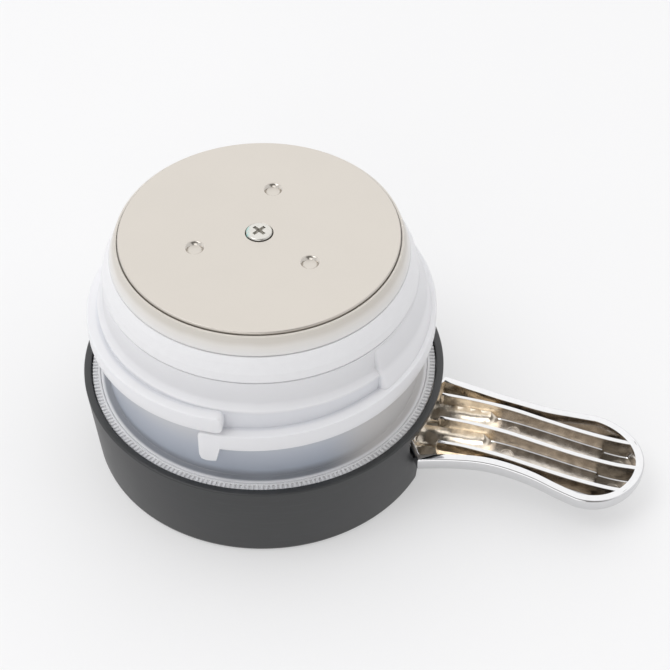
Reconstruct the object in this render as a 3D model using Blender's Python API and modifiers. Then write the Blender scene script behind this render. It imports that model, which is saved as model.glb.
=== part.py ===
"""Pouring stopper of a vacuum jug: screw-in body, sprung valve and chromed thumb lever.

The stopper stands upside down on the flat top of its cap. Z points up, towards the jug,
the origin is on the stopper's axis in the resting face, and the lever points along +X.
"""
import math

import bmesh
import bpy
from mathutils import Matrix, Vector

MM = 0.001
FIT = 0.3              # clearance between neighbouring pieces
STEPS = 48             # steps round a large turned piece
SMALL_STEPS = 24       # steps round a small turned piece

# Cap: a shallow cup with the resting face at z = 0
CAP_R = 48.0           # collar radius at the rim
CAP_BASE_R = CAP_R - 2.1                  # collar radius at the resting face
CAP_H = 24.8
CAP_TOP_T = 2.2        # thickness of the top plate
CAP_WALL = 2.3
CAP_EDGE = 1.6         # rounding of the resting edge
RIM_BAND = 1.9         # height of the ring that closes the lever notch
LEDGE_W = 6.0          # inner ledge that the body flange is sealed on
LEDGE_T = 1.5

# Stopper body: radii follow the cap and heights follow the flange
BODY_R = CAP_R - 6.0   # radius under the thread
BODY_WALL = 2.0
FLANGE_T = 2.0
FLANGE_SINK = 0.5      # rim of the cap above the flange
FLANGE_Z1 = CAP_H - FLANGE_SINK
FLANGE_Z0 = FLANGE_Z1 - FLANGE_T
RING_W = 2.1           # width of the locating ring round the flange
LEDGE_Z = FLANGE_Z1 + 24.5                # shoulder above the thread
GASKET_Z0 = FLANGE_Z1 + 32.9
GASKET_Z1 = GASKET_Z0 + 6.5
GASKET_R = BODY_R - 1.8                   # radius of the body under the gasket
GASKET_DEPTH = 3.8
NOSE_R = GASKET_R - 2.2                   # radius of the body over the gasket
END_R = NOSE_R - 1.7
BODY_TOP = GASKET_Z1 + 3.7
SEAT_T = 1.8
SEAT_Z = BODY_TOP - 1.7
SEAT_BORE = END_R - 9.3
NECK_R = END_R - 1.0                      # bore that surrounds the valve seal
WINDOW_W = 30.0        # pour window, on the side away from the lever
WINDOW_H = 9.0
WINDOW_SILL = 2.0

# Two-start thread
THREAD_R = BODY_R + 3.3
THREAD_H = 5.0
THREAD_Z = FLANGE_Z1 + 13.3
THREAD_LEAD = 11.4
THREAD_TURN = 188.2
THREAD_START = -93.0
LUG_H = 5.0
LUG_TURN = 6.4
WEB_START = -29.0      # filled web between the thread and the shoulder
WEB_TURN = 124.0

# Valve
DISC_R = END_R - 0.8
DISC_TOP = BODY_TOP + 2.1
DISC_T = 0.6
DISC_LIP = 1.5
DIMPLE_R = 1.9
DIMPLE_DEPTH = 0.35
DIMPLE_PLACE_R = 16.8
DIMPLE_START = -24.5
STEM_R = 4.0
STEM_BOTTOM = 14.0
CARRIER_R = SEAT_BORE + 1.7
HUB_R = STEM_R + 5.0
SOCKET_T = 1.5         # end of the stem's socket
SCREW_HEAD_R = 3.65
SCREW_HEAD_H = 1.8
SCREW_PROUD = 0.6      # top of the head above the disc
SCREW_R = 2.0
SCREW_LENGTH = 12.0
WASHER_T = 0.5
STEM_PIN_R = 1.0

# Spring, in the well of the body
SPRING_R = STEM_R + 6.5
SPRING_WIRE = 1.1
SPRING_TURNS = 6
SPRING_FLANGE_Z = 17.0
BRIM_R = SPRING_R + SPRING_WIRE / 2 + 1.2
BRIM_Z = SPRING_FLANGE_Z - 1.5            # underside of the spring flange on the stem cap
WELL_WALL = 1.8
WELL_R = BRIM_R + 0.95 + WELL_WALL
WELL_END_T = 2.6
WELL_TOP = FLANGE_Z1 + 13.4
BUSH_R = STEM_R + 2.3
BUSH_T = 0.9
ORING_WIRE = 0.98
RETAINER_T = 0.8

# Lever: places follow the cap's radius, heights are those of the cap's inside
PIVOT_X = 10.0 - CAP_R
PIVOT_Z = 9.3
PIN_R = 1.5
PIN_HALF = 14.0
CLIP_T = 0.8
ARM_Y = 8.0            # middle of each arm and of each outer rib
ARM_T = 2.2
ARM_Z0 = PIVOT_Z - 3.7
ARM_Z1 = PIVOT_Z + 3.1
PAD_HALF = 3.0         # half length of the crossbar that lifts the stem
PAD_TOP = BRIM_Z - 3.1
PAD_T = 3.0
ROOT_X = CAP_R - 5.2   # end of the tray inside the notch
ROOT_END_HALF = 10.2
TRAY_X0 = CAP_R - 1.5  # corners of the tray outside the collar
ROOT_HALF = 15.7
WAIST_X = CAP_R + 19.0
WAIST_HALF = 12.6
TRAY_TIP = CAP_R + 55.6
TIP_R = 15.2           # radius of the round paddle
TRAY_DEPTH = 6.4
TRAY_FLOOR = 2.0
TRAY_WALL = 2.3
RIB_T = 1.5
SHIELD_T = 1.6         # curved plate that hides the notch
SHIELD_Z0 = 8.4
SHIELD_Z1 = 15.0
SHIELD_HALF_TURN = 17.5
RIM_TABLE = ((-8.0, 14.9), (-0.8, 15.5), (8.0, 15.9), (18.0, 15.5), (28.0, 14.2), (38.0, 12.8),
             (47.0, 12.0), (57.6, 12.5))     # rim height along the lever, from the collar

# Fasteners
CAP_SCREW_R = CAP_R - 17.0
CAP_SCREW_START = 60.0
CAP_SCREW_SHANK = 1.3
CAP_SCREW_HEAD = 3.0
CAP_SCREW_HEAD_H = 1.8
CAP_SCREW_LENGTH = 15.0
BOSS_R = 4.0

# Sizes worked out from the ones above
CAP_IN_R = CAP_R - 2.0                    # inside the rim
RING_R1 = CAP_IN_R - FIT
RING_R0 = RING_R1 - RING_W
FLANGE_R = RING_R0 - FIT
STEP_R = RING_R1 - 0.5                    # inside the step that carries the locating ring
STEP_Z = FLANGE_Z0 - FIT
SEAL_T = 1.7
SEAL_Z1 = FLANGE_Z0 - FIT
SEAL_Z0 = SEAL_Z1 - SEAL_T
LEDGE_Z1 = SEAL_Z0 - FIT
LEDGE_Z0 = LEDGE_Z1 - LEDGE_T
LEDGE_R = STEP_R - LEDGE_W
SHIELD_R1 = STEP_R - 1.6
SHIELD_R0 = SHIELD_R1 - SHIELD_T
CUP_R = SCREW_HEAD_R + FIT
CUP_FLOOR = DISC_TOP + SCREW_PROUD - SCREW_HEAD_H - FIT - WASHER_T - FIT
SEAL_TOP = DISC_TOP - DISC_T - FIT
SOCKET_TOP = CUP_FLOOR - DISC_T - FIT - SOCKET_T


def fresh_scene():
    for obj in list(bpy.data.objects):
        bpy.data.objects.remove(obj, do_unlink=True)
    for coll in list(bpy.data.collections):
        bpy.data.collections.remove(coll)
    parts = bpy.data.collections.new("jug_stopper")
    tools = bpy.data.collections.new("cutters")
    for coll in (parts, tools):
        bpy.context.scene.collection.children.link(coll)
    return parts, tools


PARTS, TOOLS = fresh_scene()


def material(name, color, roughness, metallic=0.0, alpha=1.0):
    mat = bpy.data.materials.get(name) or bpy.data.materials.new(name)
    mat.use_nodes = True
    shader = mat.node_tree.nodes["Principled BSDF"]
    shader.inputs["Base Color"].default_value = (*color, 1.0)
    shader.inputs["Roughness"].default_value = roughness
    shader.inputs["Metallic"].default_value = metallic
    shader.inputs["Alpha"].default_value = alpha
    return mat


BLACK = material("black_plastic", (0.035, 0.037, 0.038), 0.42)
MILKY = material("milky_polypropylene", (0.82, 0.84, 0.87), 0.35, alpha=0.75)
STEEL = material("stainless_sheet", (0.62, 0.59, 0.54), 0.32, 1.0)
CHROME = material("chrome_plate", (0.78, 0.78, 0.77), 0.08, 1.0)
BRIGHT = material("bright_steel", (0.60, 0.59, 0.56), 0.22, 1.0)
SILICONE = material("white_silicone", (0.88, 0.88, 0.87), 0.55)
GREY = material("grey_silicone", (0.55, 0.53, 0.50), 0.55)
ACETAL = material("natural_acetal", (0.80, 0.79, 0.75), 0.4)
RUBBER = material("black_rubber", (0.03, 0.03, 0.03), 0.7)


# ---------------------------------------------------------------- helpers

def new_object(name, mesh, mat=None, coll=PARTS):
    obj = bpy.data.objects.new(name, mesh)
    coll.objects.link(obj)
    if mat:
        mesh.materials.append(mat)
    if coll is TOOLS:
        obj.hide_render = True
        obj.display_type = "WIRE"
    return obj


def shade(obj, angle=35.0):
    obj.data.shade_smooth()
    obj.data.set_sharp_from_angle(angle=math.radians(angle))


def screw_modifier(obj, steps):
    mod = obj.modifiers.new("turn", "SCREW")
    mod.axis = "Z"
    mod.steps = steps
    mod.render_steps = steps
    mod.use_merge_vertices = True
    mod.merge_threshold = 0.00005
    mod.use_smooth_shade = True


def turned(name, profile, mat=None, steps=STEPS, coll=PARTS, closed=True):
    """Turn a profile of (radius, height) in mm about Z; it runs down its outer side."""
    mesh = bpy.data.meshes.new(name)
    points = [(r * MM, 0.0, z * MM) for r, z in profile]
    edges = [(i, i + 1) for i in range(len(points) - 1)]
    if closed:
        edges.append((len(points) - 1, 0))
    mesh.from_pydata(points, edges, [])
    obj = new_object(name, mesh, mat, coll)
    screw_modifier(obj, steps)
    return obj


def solid(name, profile, mat=None, steps=SMALL_STEPS, coll=PARTS):
    """Turn an open profile that starts and ends on the axis."""
    return turned(name, profile, mat, steps, coll, closed=False)


def ring(name, r0, r1, z0, z1, mat=None, steps=STEPS, coll=PARTS):
    return turned(name, [(r1, z1), (r1, z0), (r0, z0), (r0, z1)], mat, steps, coll)


def evaluated_copy(obj, name, mat, coll=PARTS):
    """Replace an object by a mesh of its evaluated shape, with welded caps."""
    graph = bpy.context.evaluated_depsgraph_get()
    mesh = bpy.data.meshes.new_from_object(obj.evaluated_get(graph))
    bm = bmesh.new()
    bm.from_mesh(mesh)
    bmesh.ops.remove_doubles(bm, verts=bm.verts, dist=0.00001)
    bmesh.ops.recalc_face_normals(bm, faces=bm.faces)
    bm.to_mesh(mesh)
    bm.free()
    mesh.transform(obj.matrix_world)
    mesh.materials.clear()
    bpy.data.objects.remove(obj, do_unlink=True)
    return new_object(name, mesh, mat, coll)


def outline(name, points, z0, z1, mat=None, coll=PARTS, plane="XY"):
    """Extrude a flat outline in mm between two levels of the axis that it faces."""
    curve = bpy.data.curves.new(name + "_outline", "CURVE")
    curve.dimensions = "2D"
    curve.fill_mode = "BOTH"
    curve.extrude = (z1 - z0) / 2 * MM
    spline = curve.splines.new("POLY")
    spline.points.add(len(points) - 1)
    for point, (a, b) in zip(spline.points, points):
        point.co = (a * MM, b * MM, 0.0, 1.0)
    spline.use_cyclic_u = True
    obj = bpy.data.objects.new(name + "_outline", curve)
    coll.objects.link(obj)
    middle = (z0 + z1) / 2 * MM
    if plane == "XY":
        obj.matrix_world = Matrix.Translation((0, 0, middle))
    elif plane == "XZ":
        obj.matrix_world = Matrix.Translation((0, middle, 0)) @ Matrix.Rotation(math.pi / 2, 4, "X")
    else:
        turn = Matrix(((0, 0, 1, 0), (1, 0, 0, 0), (0, 1, 0, 0), (0, 0, 0, 1)))
        obj.matrix_world = Matrix.Translation((middle, 0, 0)) @ turn
    bpy.context.view_layer.update()
    return evaluated_copy(obj, name, mat, coll)


def box(name, low, high, mat=None, coll=TOOLS):
    bpy.ops.mesh.primitive_cube_add(size=1.0)
    obj = bpy.context.active_object
    return adopt(obj, name, mat, coll, low, high)


def adopt(obj, name, mat, coll, low, high):
    """Name a unit primitive, stretch its mesh between two corners in mm and file it."""
    size = [(b - a) * MM for a, b in zip(low, high)]
    middle = [(a + b) / 2 * MM for a, b in zip(low, high)]
    obj.data.transform(Matrix.Translation(middle) @ Matrix.Diagonal((*size, 1.0)))
    obj.name = name
    obj.data.name = name
    for other in obj.users_collection:
        other.objects.unlink(obj)
    coll.objects.link(obj)
    if mat:
        obj.data.materials.append(mat)
    if coll is TOOLS:
        obj.hide_render = True
        obj.display_type = "WIRE"
    return obj


def rod(name, radius, z0, z1, mat=None, coll=TOOLS, steps=SMALL_STEPS, at=(0.0, 0.0)):
    bpy.ops.mesh.primitive_cylinder_add(vertices=steps, radius=0.5, depth=1.0)
    low = (at[0] - radius, at[1] - radius, z0)
    high = (at[0] + radius, at[1] + radius, z1)
    return adopt(bpy.context.active_object, name, mat, coll, low, high)


def cross_rod(name, radius, x, z, half, mat=None, coll=TOOLS, steps=24):
    """A cylinder along Y, from -half to half."""
    bpy.ops.mesh.primitive_cylinder_add(vertices=steps, radius=radius * MM, depth=2 * half * MM)
    obj = bpy.context.active_object
    obj.data.transform(Matrix.Rotation(math.pi / 2, 4, "X"))
    obj.data.transform(Matrix.Translation((x * MM, 0, z * MM)))
    return adopt(obj, name, mat, coll, (-500, -500, -500), (500, 500, 500))


def combine(obj, tool, operation):
    mod = obj.modifiers.new(tool.name, "BOOLEAN")
    mod.operation = operation
    mod.object = tool
    mod.solver = "EXACT"


def cut(obj, *tools):
    for tool in tools:
        combine(obj, tool, "DIFFERENCE")


def join(obj, *tools):
    for tool in tools:
        combine(obj, tool, "UNION")


def spun(name, section, start, turn, rise=0.0, steps=40, coll=TOOLS):
    """Sweep a closed section of (radius, height) in mm about Z with a steady rise."""
    bm = bmesh.new()
    a = math.radians(start)
    verts = [bm.verts.new((r * math.cos(a) * MM, r * math.sin(a) * MM, z * MM)) for r, z in section]
    face = bm.faces.new(verts)
    geom = [face, *face.verts, *face.edges]
    bmesh.ops.spin(bm, geom=geom, cent=(0, 0, 0), axis=(0, 0, 1),
                   dvec=(0, 0, rise * MM / steps), angle=math.radians(turn), steps=steps)
    bmesh.ops.recalc_face_normals(bm, faces=bm.faces)
    mesh = bpy.data.meshes.new(name)
    bm.to_mesh(mesh)
    bm.free()
    return new_object(name, mesh, None, coll)


def on_circle(radius, degrees):
    a = math.radians(degrees)
    return radius * math.cos(a), radius * math.sin(a)


def arc(cx, cy, radius, start, end, count):
    """Points on an arc in mm, angles in degrees."""
    step = (end - start) / count
    angles = [math.radians(start + step * i) for i in range(count + 1)]
    return [(cx + radius * math.cos(a), cy + radius * math.sin(a)) for a in angles]


# ---------------------------------------------------------------- cap

def cap_profile():
    edge = [(r, z) for r, z in arc(CAP_BASE_R - CAP_EDGE, CAP_EDGE, CAP_EDGE, 0, -90, 5)]
    inner = CAP_BASE_R - CAP_WALL
    return [
        (CAP_IN_R, CAP_H), (CAP_R - 0.4, CAP_H), (CAP_R, CAP_H - 0.4), *edge,
        (0.0, 0.0),
    ], [
        (0.0, CAP_TOP_T), (inner, CAP_TOP_T), (STEP_R, LEDGE_Z0), (LEDGE_R, LEDGE_Z0),
        (LEDGE_R, LEDGE_Z1), (STEP_R, LEDGE_Z1), (STEP_R, STEP_Z), (CAP_IN_R, STEP_Z), (CAP_IN_R, CAP_H),
    ]


def lever_notch():
    """The opening in the collar: narrow over the arms and wider towards the rim."""
    top = CAP_H - RIM_BAND
    half = ARM_Y + ARM_T / 2 + 0.6
    side = [(half, -1.0), (half, 7.0), (half + 2.1, 10.4), (half + 4.9, 14.4), (half + 6.7, 18.4)]
    side.append((half + 7.6, top))
    points = side + [(-y, z) for y, z in reversed(side)]
    return outline("lever_notch", points, CAP_R - 5.0, CAP_R + 12.0, coll=TOOLS, plane="YZ")


def cap_shell():
    outer, inner = cap_profile()
    shell = turned("cap_shell", outer + inner[:-1], BLACK, closed=True, steps=STEPS)
    top = CAP_H - RIM_BAND
    section = [(SHIELD_R0 - 1.2, ARM_Z1), (STEP_R - 0.4, ARM_Z1), (STEP_R - 0.4, top - 1.0),
               (SHIELD_R0 - 1.2, top - 1.0)]
    bay = spun("lever_bay", section, -SHIELD_HALF_TURN - 6.5, 2 * SHIELD_HALF_TURN + 13.0, steps=12)
    cut(shell, lever_notch(), bay)
    low = CAP_TOP_T - 1.0
    lug_half = PIN_R + 2.5
    for side in (-1, 1):
        word = "left" if side > 0 else "right"
        y0, y1 = sorted((side * (ARM_Y + ARM_T / 2 + 0.5), side * (PIN_HALF - CLIP_T - 2 * FIT)))
        lug = box(f"lug_{word}", (PIVOT_X - lug_half, y0, low), (PIVOT_X + lug_half, y1, PIVOT_Z + lug_half))
        y0, y1 = sorted((side * (ARM_Y - 1.5), side * (ARM_Y + 1.5)))
        stop = box(f"stop_{word}", (CAP_R - 16.0, y0, low), (CAP_R - 11.0, y1, ARM_Z0 - FIT))
        join(shell, lug, stop)
    cut(shell, cross_rod("pin_bore", PIN_R + FIT, PIVOT_X, PIVOT_Z, PIN_HALF + 1.0))
    for index in range(3):
        at = on_circle(CAP_SCREW_R, CAP_SCREW_START + 120 * index)
        deep = FLANGE_Z1 + FIT - CAP_SCREW_LENGTH - 1.0
        boss = rod(f"boss_{index + 1}", BOSS_R, low, FLANGE_Z0 - FIT, at=at, steps=20)
        hole = rod(f"boss_hole_{index + 1}", CAP_SCREW_SHANK + FIT, deep, CAP_H, at=at, steps=16)
        join(shell, boss)
        cut(shell, hole)
    return shell


# ---------------------------------------------------------------- body

def body_profile():
    inner = BODY_R - BODY_WALL
    collar = 2 * ORING_WIRE + RETAINER_T + FIT
    groove = GASKET_R - GASKET_DEPTH
    return [
        (END_R, BODY_TOP), (NOSE_R, GASKET_Z1 + FIT), (groove, GASKET_Z1 + FIT),
        (groove, GASKET_Z0 - FIT), (GASKET_R, GASKET_Z0 - FIT), (BODY_R - 1.2, LEDGE_Z + 1.6),
        (BODY_R + 0.2, LEDGE_Z), (BODY_R, THREAD_Z), (BODY_R - 0.8, FLANGE_Z1), (FLANGE_R, FLANGE_Z1),
        (FLANGE_R, FLANGE_Z0), (WELL_R - WELL_WALL, FLANGE_Z0), (WELL_R - WELL_WALL, WELL_TOP - WELL_END_T),
        (BUSH_R, WELL_TOP - WELL_END_T), (BUSH_R, WELL_TOP), (BUSH_R + FIT, WELL_TOP),
        (BUSH_R + FIT, WELL_TOP + collar), (BUSH_R + 2.1, WELL_TOP + collar), (BUSH_R + 2.1, WELL_TOP),
        (WELL_R, WELL_TOP), (WELL_R, FLANGE_Z1), (inner - 0.8, FLANGE_Z1), (inner, LEDGE_Z - 1.0),
        (inner - 1.2, LEDGE_Z + 1.2), (GASKET_R - 2.0, GASKET_Z0 - 2.0), (groove - 1.6, GASKET_Z0 + 0.5),
        (groove - 1.6, SEAT_Z - SEAT_T), (SEAT_BORE, SEAT_Z - SEAT_T), (SEAT_BORE, SEAT_Z),
        (NECK_R, SEAT_Z), (NECK_R, BODY_TOP),
    ]


def thread_section(z, root=1.0):
    """Flange section of the thread, with its root inside the body wall."""
    return [(BODY_R - root, z), (THREAD_R - 0.3, z), (THREAD_R, z + 0.4), (THREAD_R, z + THREAD_H - 0.6),
            (THREAD_R - 0.5, z + THREAD_H), (BODY_R - root, z + THREAD_H)]


def threads(body):
    rise = THREAD_LEAD * THREAD_TURN / 360
    for index in range(2):
        start = THREAD_START + 180 * index
        ridge = spun(f"thread_{index + 1}", thread_section(THREAD_Z), start, THREAD_TURN, rise, steps=24)
        low = THREAD_Z - LUG_H
        section = [(BODY_R - 1.0, low), (THREAD_R - 0.8, low), (THREAD_R - 0.2, low + 1.5),
                   (THREAD_R - 0.1, THREAD_Z + 1.0), (BODY_R - 1.0, THREAD_Z + 1.0)]
        lug = spun(f"thread_lug_{index + 1}", section, start, LUG_TURN, steps=2)
        join(body, ridge, lug)


def web(body):
    """The wall is filled out to a cone beside the lever."""
    full = THREAD_R - 0.5
    top = GASKET_Z0 - 1.0
    low = THREAD_Z + 1.5
    section = [(BODY_R - 2.0, top), (GASKET_R + 0.2, top), (full - 2.4, LEDGE_Z + 2.6),
               (full - 0.8, LEDGE_Z - 2.8), (full, LEDGE_Z - 7.6), (full, low), (BODY_R - 1.0, low), (BODY_R - 1.8, LEDGE_Z + 2.0)]
    join(body, spun("spout_web", section, WEB_START, WEB_TURN, steps=16))


def stopper_body():
    body = turned("stopper_body", body_profile(), MILKY)
    web(body)
    threads(body)
    bottom = FLANGE_Z1 + WINDOW_SILL
    low = (-BODY_R - 10.0, -WINDOW_W / 2, bottom)
    window = box("pour_window", low, (6.0 - BODY_R, WINDOW_W / 2, bottom + WINDOW_H))
    cut(body, window)
    for index in range(3):
        at = on_circle(CAP_SCREW_R, CAP_SCREW_START + 120 * index)
        hole = rod(f"flange_hole_{index + 1}", CAP_SCREW_SHANK + FIT, FLANGE_Z0 - 1, FLANGE_Z1 + 1,
                   at=at, steps=16)
        cut(body, hole)
    return body


def body_rings():
    ring("locating_ring", RING_R0, RING_R1, FLANGE_Z0, FLANGE_Z1, MILKY)
    ring("flange_seal", LEDGE_R + FIT, FLANGE_R - FIT, SEAL_Z0, SEAL_Z1, GREY)
    groove = GASKET_R - GASKET_DEPTH + FIT
    profile = [(NOSE_R, GASKET_Z1), (NOSE_R + 0.5, GASKET_Z1 - 0.8), (GASKET_R + 0.1, GASKET_Z0 + 0.8),
               (GASKET_R + 0.1, GASKET_Z0), (groove, GASKET_Z0), (groove, GASKET_Z1)]
    turned("mouth_gasket", profile, SILICONE)


def cap_screws():
    for index in range(3):
        at = on_circle(CAP_SCREW_R, CAP_SCREW_START + 120 * index)
        z = FLANGE_Z1 + FIT
        top = z + CAP_SCREW_HEAD_H
        end = z - CAP_SCREW_LENGTH
        profile = [(0, top), (CAP_SCREW_HEAD - 0.6, top), (CAP_SCREW_HEAD, top - 0.8), (CAP_SCREW_HEAD, z),
                   (CAP_SCREW_SHANK, z), (CAP_SCREW_SHANK, end + 1.0), (0, end)]
        screw = solid(f"cap_screw_{index + 1}", profile, BRIGHT, steps=16)
        screw.location = (at[0] * MM, at[1] * MM, 0)


# ---------------------------------------------------------------- valve

def valve_disc():
    under = DISC_TOP - DISC_T
    lip = DISC_TOP - DISC_LIP
    floor = CUP_FLOOR
    hole = SCREW_R + FIT
    profile = [
        (DISC_R - 0.4, DISC_TOP), (DISC_R, DISC_TOP - 0.4), (DISC_R, lip), (DISC_R - DISC_T, lip),
        (DISC_R - DISC_T, under), (CUP_R + DISC_T, under), (CUP_R + DISC_T, floor - DISC_T),
        (hole, floor - DISC_T), (hole, floor), (CUP_R, floor), (CUP_R, DISC_TOP),
    ]
    disc = turned("valve_disc", profile, STEEL)
    for index in range(3):
        at = on_circle(DIMPLE_PLACE_R, DIMPLE_START + 120 * index)
        floor = DISC_TOP - DIMPLE_DEPTH
        cut(disc, rod(f"dimple_{index + 1}", DIMPLE_R, floor, DISC_TOP + 1, at=at, steps=16))


def valve_fastening():
    z = CUP_FLOOR + FIT
    ring("disc_washer", SCREW_R + FIT, CUP_R - FIT, z, z + WASHER_T, RUBBER, steps=SMALL_STEPS)
    z += WASHER_T + FIT
    profile = [(0, z + SCREW_HEAD_H), (SCREW_HEAD_R - 1.2, z + SCREW_HEAD_H), (SCREW_HEAD_R, z + 0.9),
               (SCREW_HEAD_R, z), (SCREW_R, z), (SCREW_R, z - SCREW_LENGTH), (0, z - SCREW_LENGTH)]
    screw = solid("disc_screw", profile, BRIGHT)
    top = z + SCREW_HEAD_H
    for name, wide, deep in (("recess_x", 2.1, 0.45), ("recess_y", 0.45, 2.1)):
        cut(screw, box(name, (-wide, -deep, top - 1.3), (wide, deep, top + 1)))


def valve_seal():
    outer = DISC_R - DISC_T - 0.5
    inner = CARRIER_R + FIT
    low = SEAT_Z + FIT
    turned("valve_seal", [(outer, SEAL_TOP), (outer, low + 0.8), (outer - 1.0, low), (inner, low),
                          (inner, SEAL_TOP)], GREY)


def valve_carrier():
    """Plate that centres the disc and its seal, with the socket for the stem."""
    low = SEAT_Z + FIT
    cup = CUP_R + DISC_T + FIT
    cup_floor = CUP_FLOOR - DISC_T - FIT
    socket = STEM_R + FIT
    hub_low = low - 7.0
    bore = SCREW_R + FIT
    profile = [(CARRIER_R, SEAL_TOP), (CARRIER_R, low), (HUB_R, low), (HUB_R, hub_low), (socket, hub_low),
               (socket, SOCKET_TOP), (bore, SOCKET_TOP), (bore, cup_floor), (cup, cup_floor), (cup, SEAL_TOP)]
    turned("valve_carrier", profile, MILKY, steps=32)


def valve_stem():
    top = SOCKET_TOP - FIT
    bore = SCREW_R + FIT
    hole_end = top - SCREW_LENGTH - 1.0
    profile = [(bore, top), (STEM_R, top), (STEM_R, STEM_BOTTOM + 0.5), (STEM_R - 0.5, STEM_BOTTOM),
               (0, STEM_BOTTOM), (0, hole_end), (bore, hole_end)]
    stem = turned("valve_stem", profile, ACETAL, steps=SMALL_STEPS)
    cut(stem, cross_rod("stem_pin_hole", STEM_PIN_R + FIT, 0, BRIM_Z - 0.6, 3 * STEM_R, steps=16))


def stem_cap():
    """Sprung foot of the stem: the lever lifts its boss and the spring bears on its brim."""
    low = PAD_TOP + FIT
    bore = STEM_R + FIT
    boss = STEM_R + 2.4
    floor = STEM_BOTTOM - FIT
    profile = [(bore, SPRING_FLANGE_Z), (BRIM_R, SPRING_FLANGE_Z), (BRIM_R, BRIM_Z), (boss, BRIM_Z),
               (boss, low), (0, low), (0, floor), (bore, floor)]
    cap = turned("stem_cap", profile, ACETAL)
    cut(cap, cross_rod("cap_pin_hole", STEM_PIN_R + FIT, 0, BRIM_Z - 0.6, 3 * STEM_R, steps=16))
    cross_rod("stem_pin", STEM_PIN_R, 0, BRIM_Z - 0.6, boss - 0.2, BRIGHT, PARTS, steps=16)


def stem_guide():
    bush_end = WELL_TOP - WELL_END_T - FIT
    flange = BUSH_R + 1.6
    bore = STEM_R + FIT
    top = WELL_TOP - 0.1
    profile = [(BUSH_R - FIT, top), (BUSH_R - FIT, bush_end), (flange, bush_end), (flange, bush_end - BUSH_T),
               (bore, bush_end - BUSH_T), (bore, top)]
    turned("stem_bush", profile, ACETAL, steps=SMALL_STEPS)
    seat = bush_end - BUSH_T - FIT
    washer_r = WELL_R - WELL_WALL - 0.5
    ring("spring_washer", bore + FIT, washer_r, seat - RETAINER_T, seat, BRIGHT, steps=SMALL_STEPS)
    low = WELL_TOP + FIT
    bpy.ops.mesh.primitive_torus_add(major_segments=SMALL_STEPS, minor_segments=6,
                                     major_radius=(bore + ORING_WIRE) * MM, minor_radius=ORING_WIRE * MM,
                                     location=(0, 0, (low + ORING_WIRE) * MM))
    oring = bpy.context.active_object
    oring.name = "stem_oring"
    oring.data.materials.append(RUBBER)
    for other in oring.users_collection:
        other.objects.unlink(oring)
    PARTS.objects.link(oring)
    top = low + 2 * ORING_WIRE + FIT
    ring("oring_retainer", bore + 0.1, BUSH_R, top, top + RETAINER_T, BRIGHT, steps=SMALL_STEPS)
    return seat - RETAINER_T - FIT


def return_spring(top):
    """Compression spring from the stem cap to the washer in the well."""
    low = SPRING_FLANGE_Z + FIT + SPRING_WIRE / 2
    high = top - SPRING_WIRE / 2
    per_turn = 20
    count = SPRING_TURNS * per_turn
    curve = bpy.data.curves.new("return_spring_wire", "CURVE")
    curve.dimensions = "3D"
    curve.bevel_depth = SPRING_WIRE / 2 * MM
    curve.bevel_resolution = 1
    curve.use_fill_caps = True
    spline = curve.splines.new("POLY")
    spline.points.add(count)
    for index, point in enumerate(spline.points):
        turn = index / per_turn
        closed = 0.8                        # the end turns lie flat
        share = min(max((turn - closed) / (SPRING_TURNS - 2 * closed), 0.0), 1.0)
        lay = SPRING_WIRE + 0.25
        ends = lay * min(turn / closed, 1.0) + lay * max(turn - SPRING_TURNS + closed, 0.0) / closed
        z = low + ends + (high - low - 2 * lay) * share
        x, y = on_circle(SPRING_R, 360 * turn)
        point.co = (x * MM, y * MM, z * MM, 1.0)
    obj = bpy.data.objects.new("return_spring_wire", curve)
    PARTS.objects.link(obj)
    bpy.context.view_layer.update()
    return evaluated_copy(obj, "return_spring", BRIGHT)


# ---------------------------------------------------------------- lever

def rim_height(x):
    """Height of the tray's rim along the lever."""
    points = [(CAP_R + away, z) for away, z in RIM_TABLE]
    for (x0, z0), (x1, z1) in zip(points, points[1:]):
        if x <= x1:
            share = (x - x0) / (x1 - x0)
            return z0 + (z1 - z0) * share
    return points[-1][1]


def tray_half(x):
    """Half width of the tray at a place along it, from the collar to the round paddle."""
    centre = TRAY_TIP - TIP_R
    start, end, first, last = TRAY_X0, WAIST_X, ROOT_HALF, WAIST_HALF
    if x > WAIST_X:
        start, end, first, last = WAIST_X, centre, WAIST_HALF, TIP_R
    share = min(max((x - start) / (end - start), 0.0), 1.0)
    return first + (last - first) * (0.5 - 0.5 * math.cos(math.pi * share))


def tray_plan():
    """Plan of the tray: root in the notch, waisted handle and round paddle, anticlockwise."""
    centre = TRAY_TIP - TIP_R
    count = 14
    places = [TRAY_X0 + (centre - TRAY_X0) * i / count for i in range(count)]
    near = [(ROOT_X, -ROOT_END_HALF), (TRAY_X0 - 0.8, -ROOT_HALF + 1.1)]
    near += [(x, -tray_half(x)) for x in places]
    return near + arc(centre, 0.0, TIP_R, -90, 90, 20) + [(x, -y) for x, y in reversed(near)]


def inset_points(plan, distance):
    """Points of a plan moved inwards."""
    moved = []
    for index, (x, y) in enumerate(plan):
        x0, y0 = plan[index - 1]
        x1, y1 = plan[(index + 1) % len(plan)]
        before = Vector((x - x0, y - y0)).normalized()
        after = Vector((x1 - x, y1 - y)).normalized()
        inward = Vector((-before.y - after.y, before.x + after.x)).normalized()
        reach = distance / max(0.5, inward.dot(Vector((-before.y, before.x))))
        moved.append((x + inward.x * reach, y + inward.y * reach))
    return moved


def slab(name, drop0, drop1, half=40.0):
    """A slab that follows the rim, between two depths below it."""
    stations = [ROOT_X - 2.0] + [CAP_R + away for away, z in RIM_TABLE[1:]]
    low = [(x, rim_height(x) - drop1) for x in stations]
    high = [(x, rim_height(x) - drop0) for x in reversed(stations)]
    return outline(name, low + high, -half, half, coll=TOOLS, plane="XZ")


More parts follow.
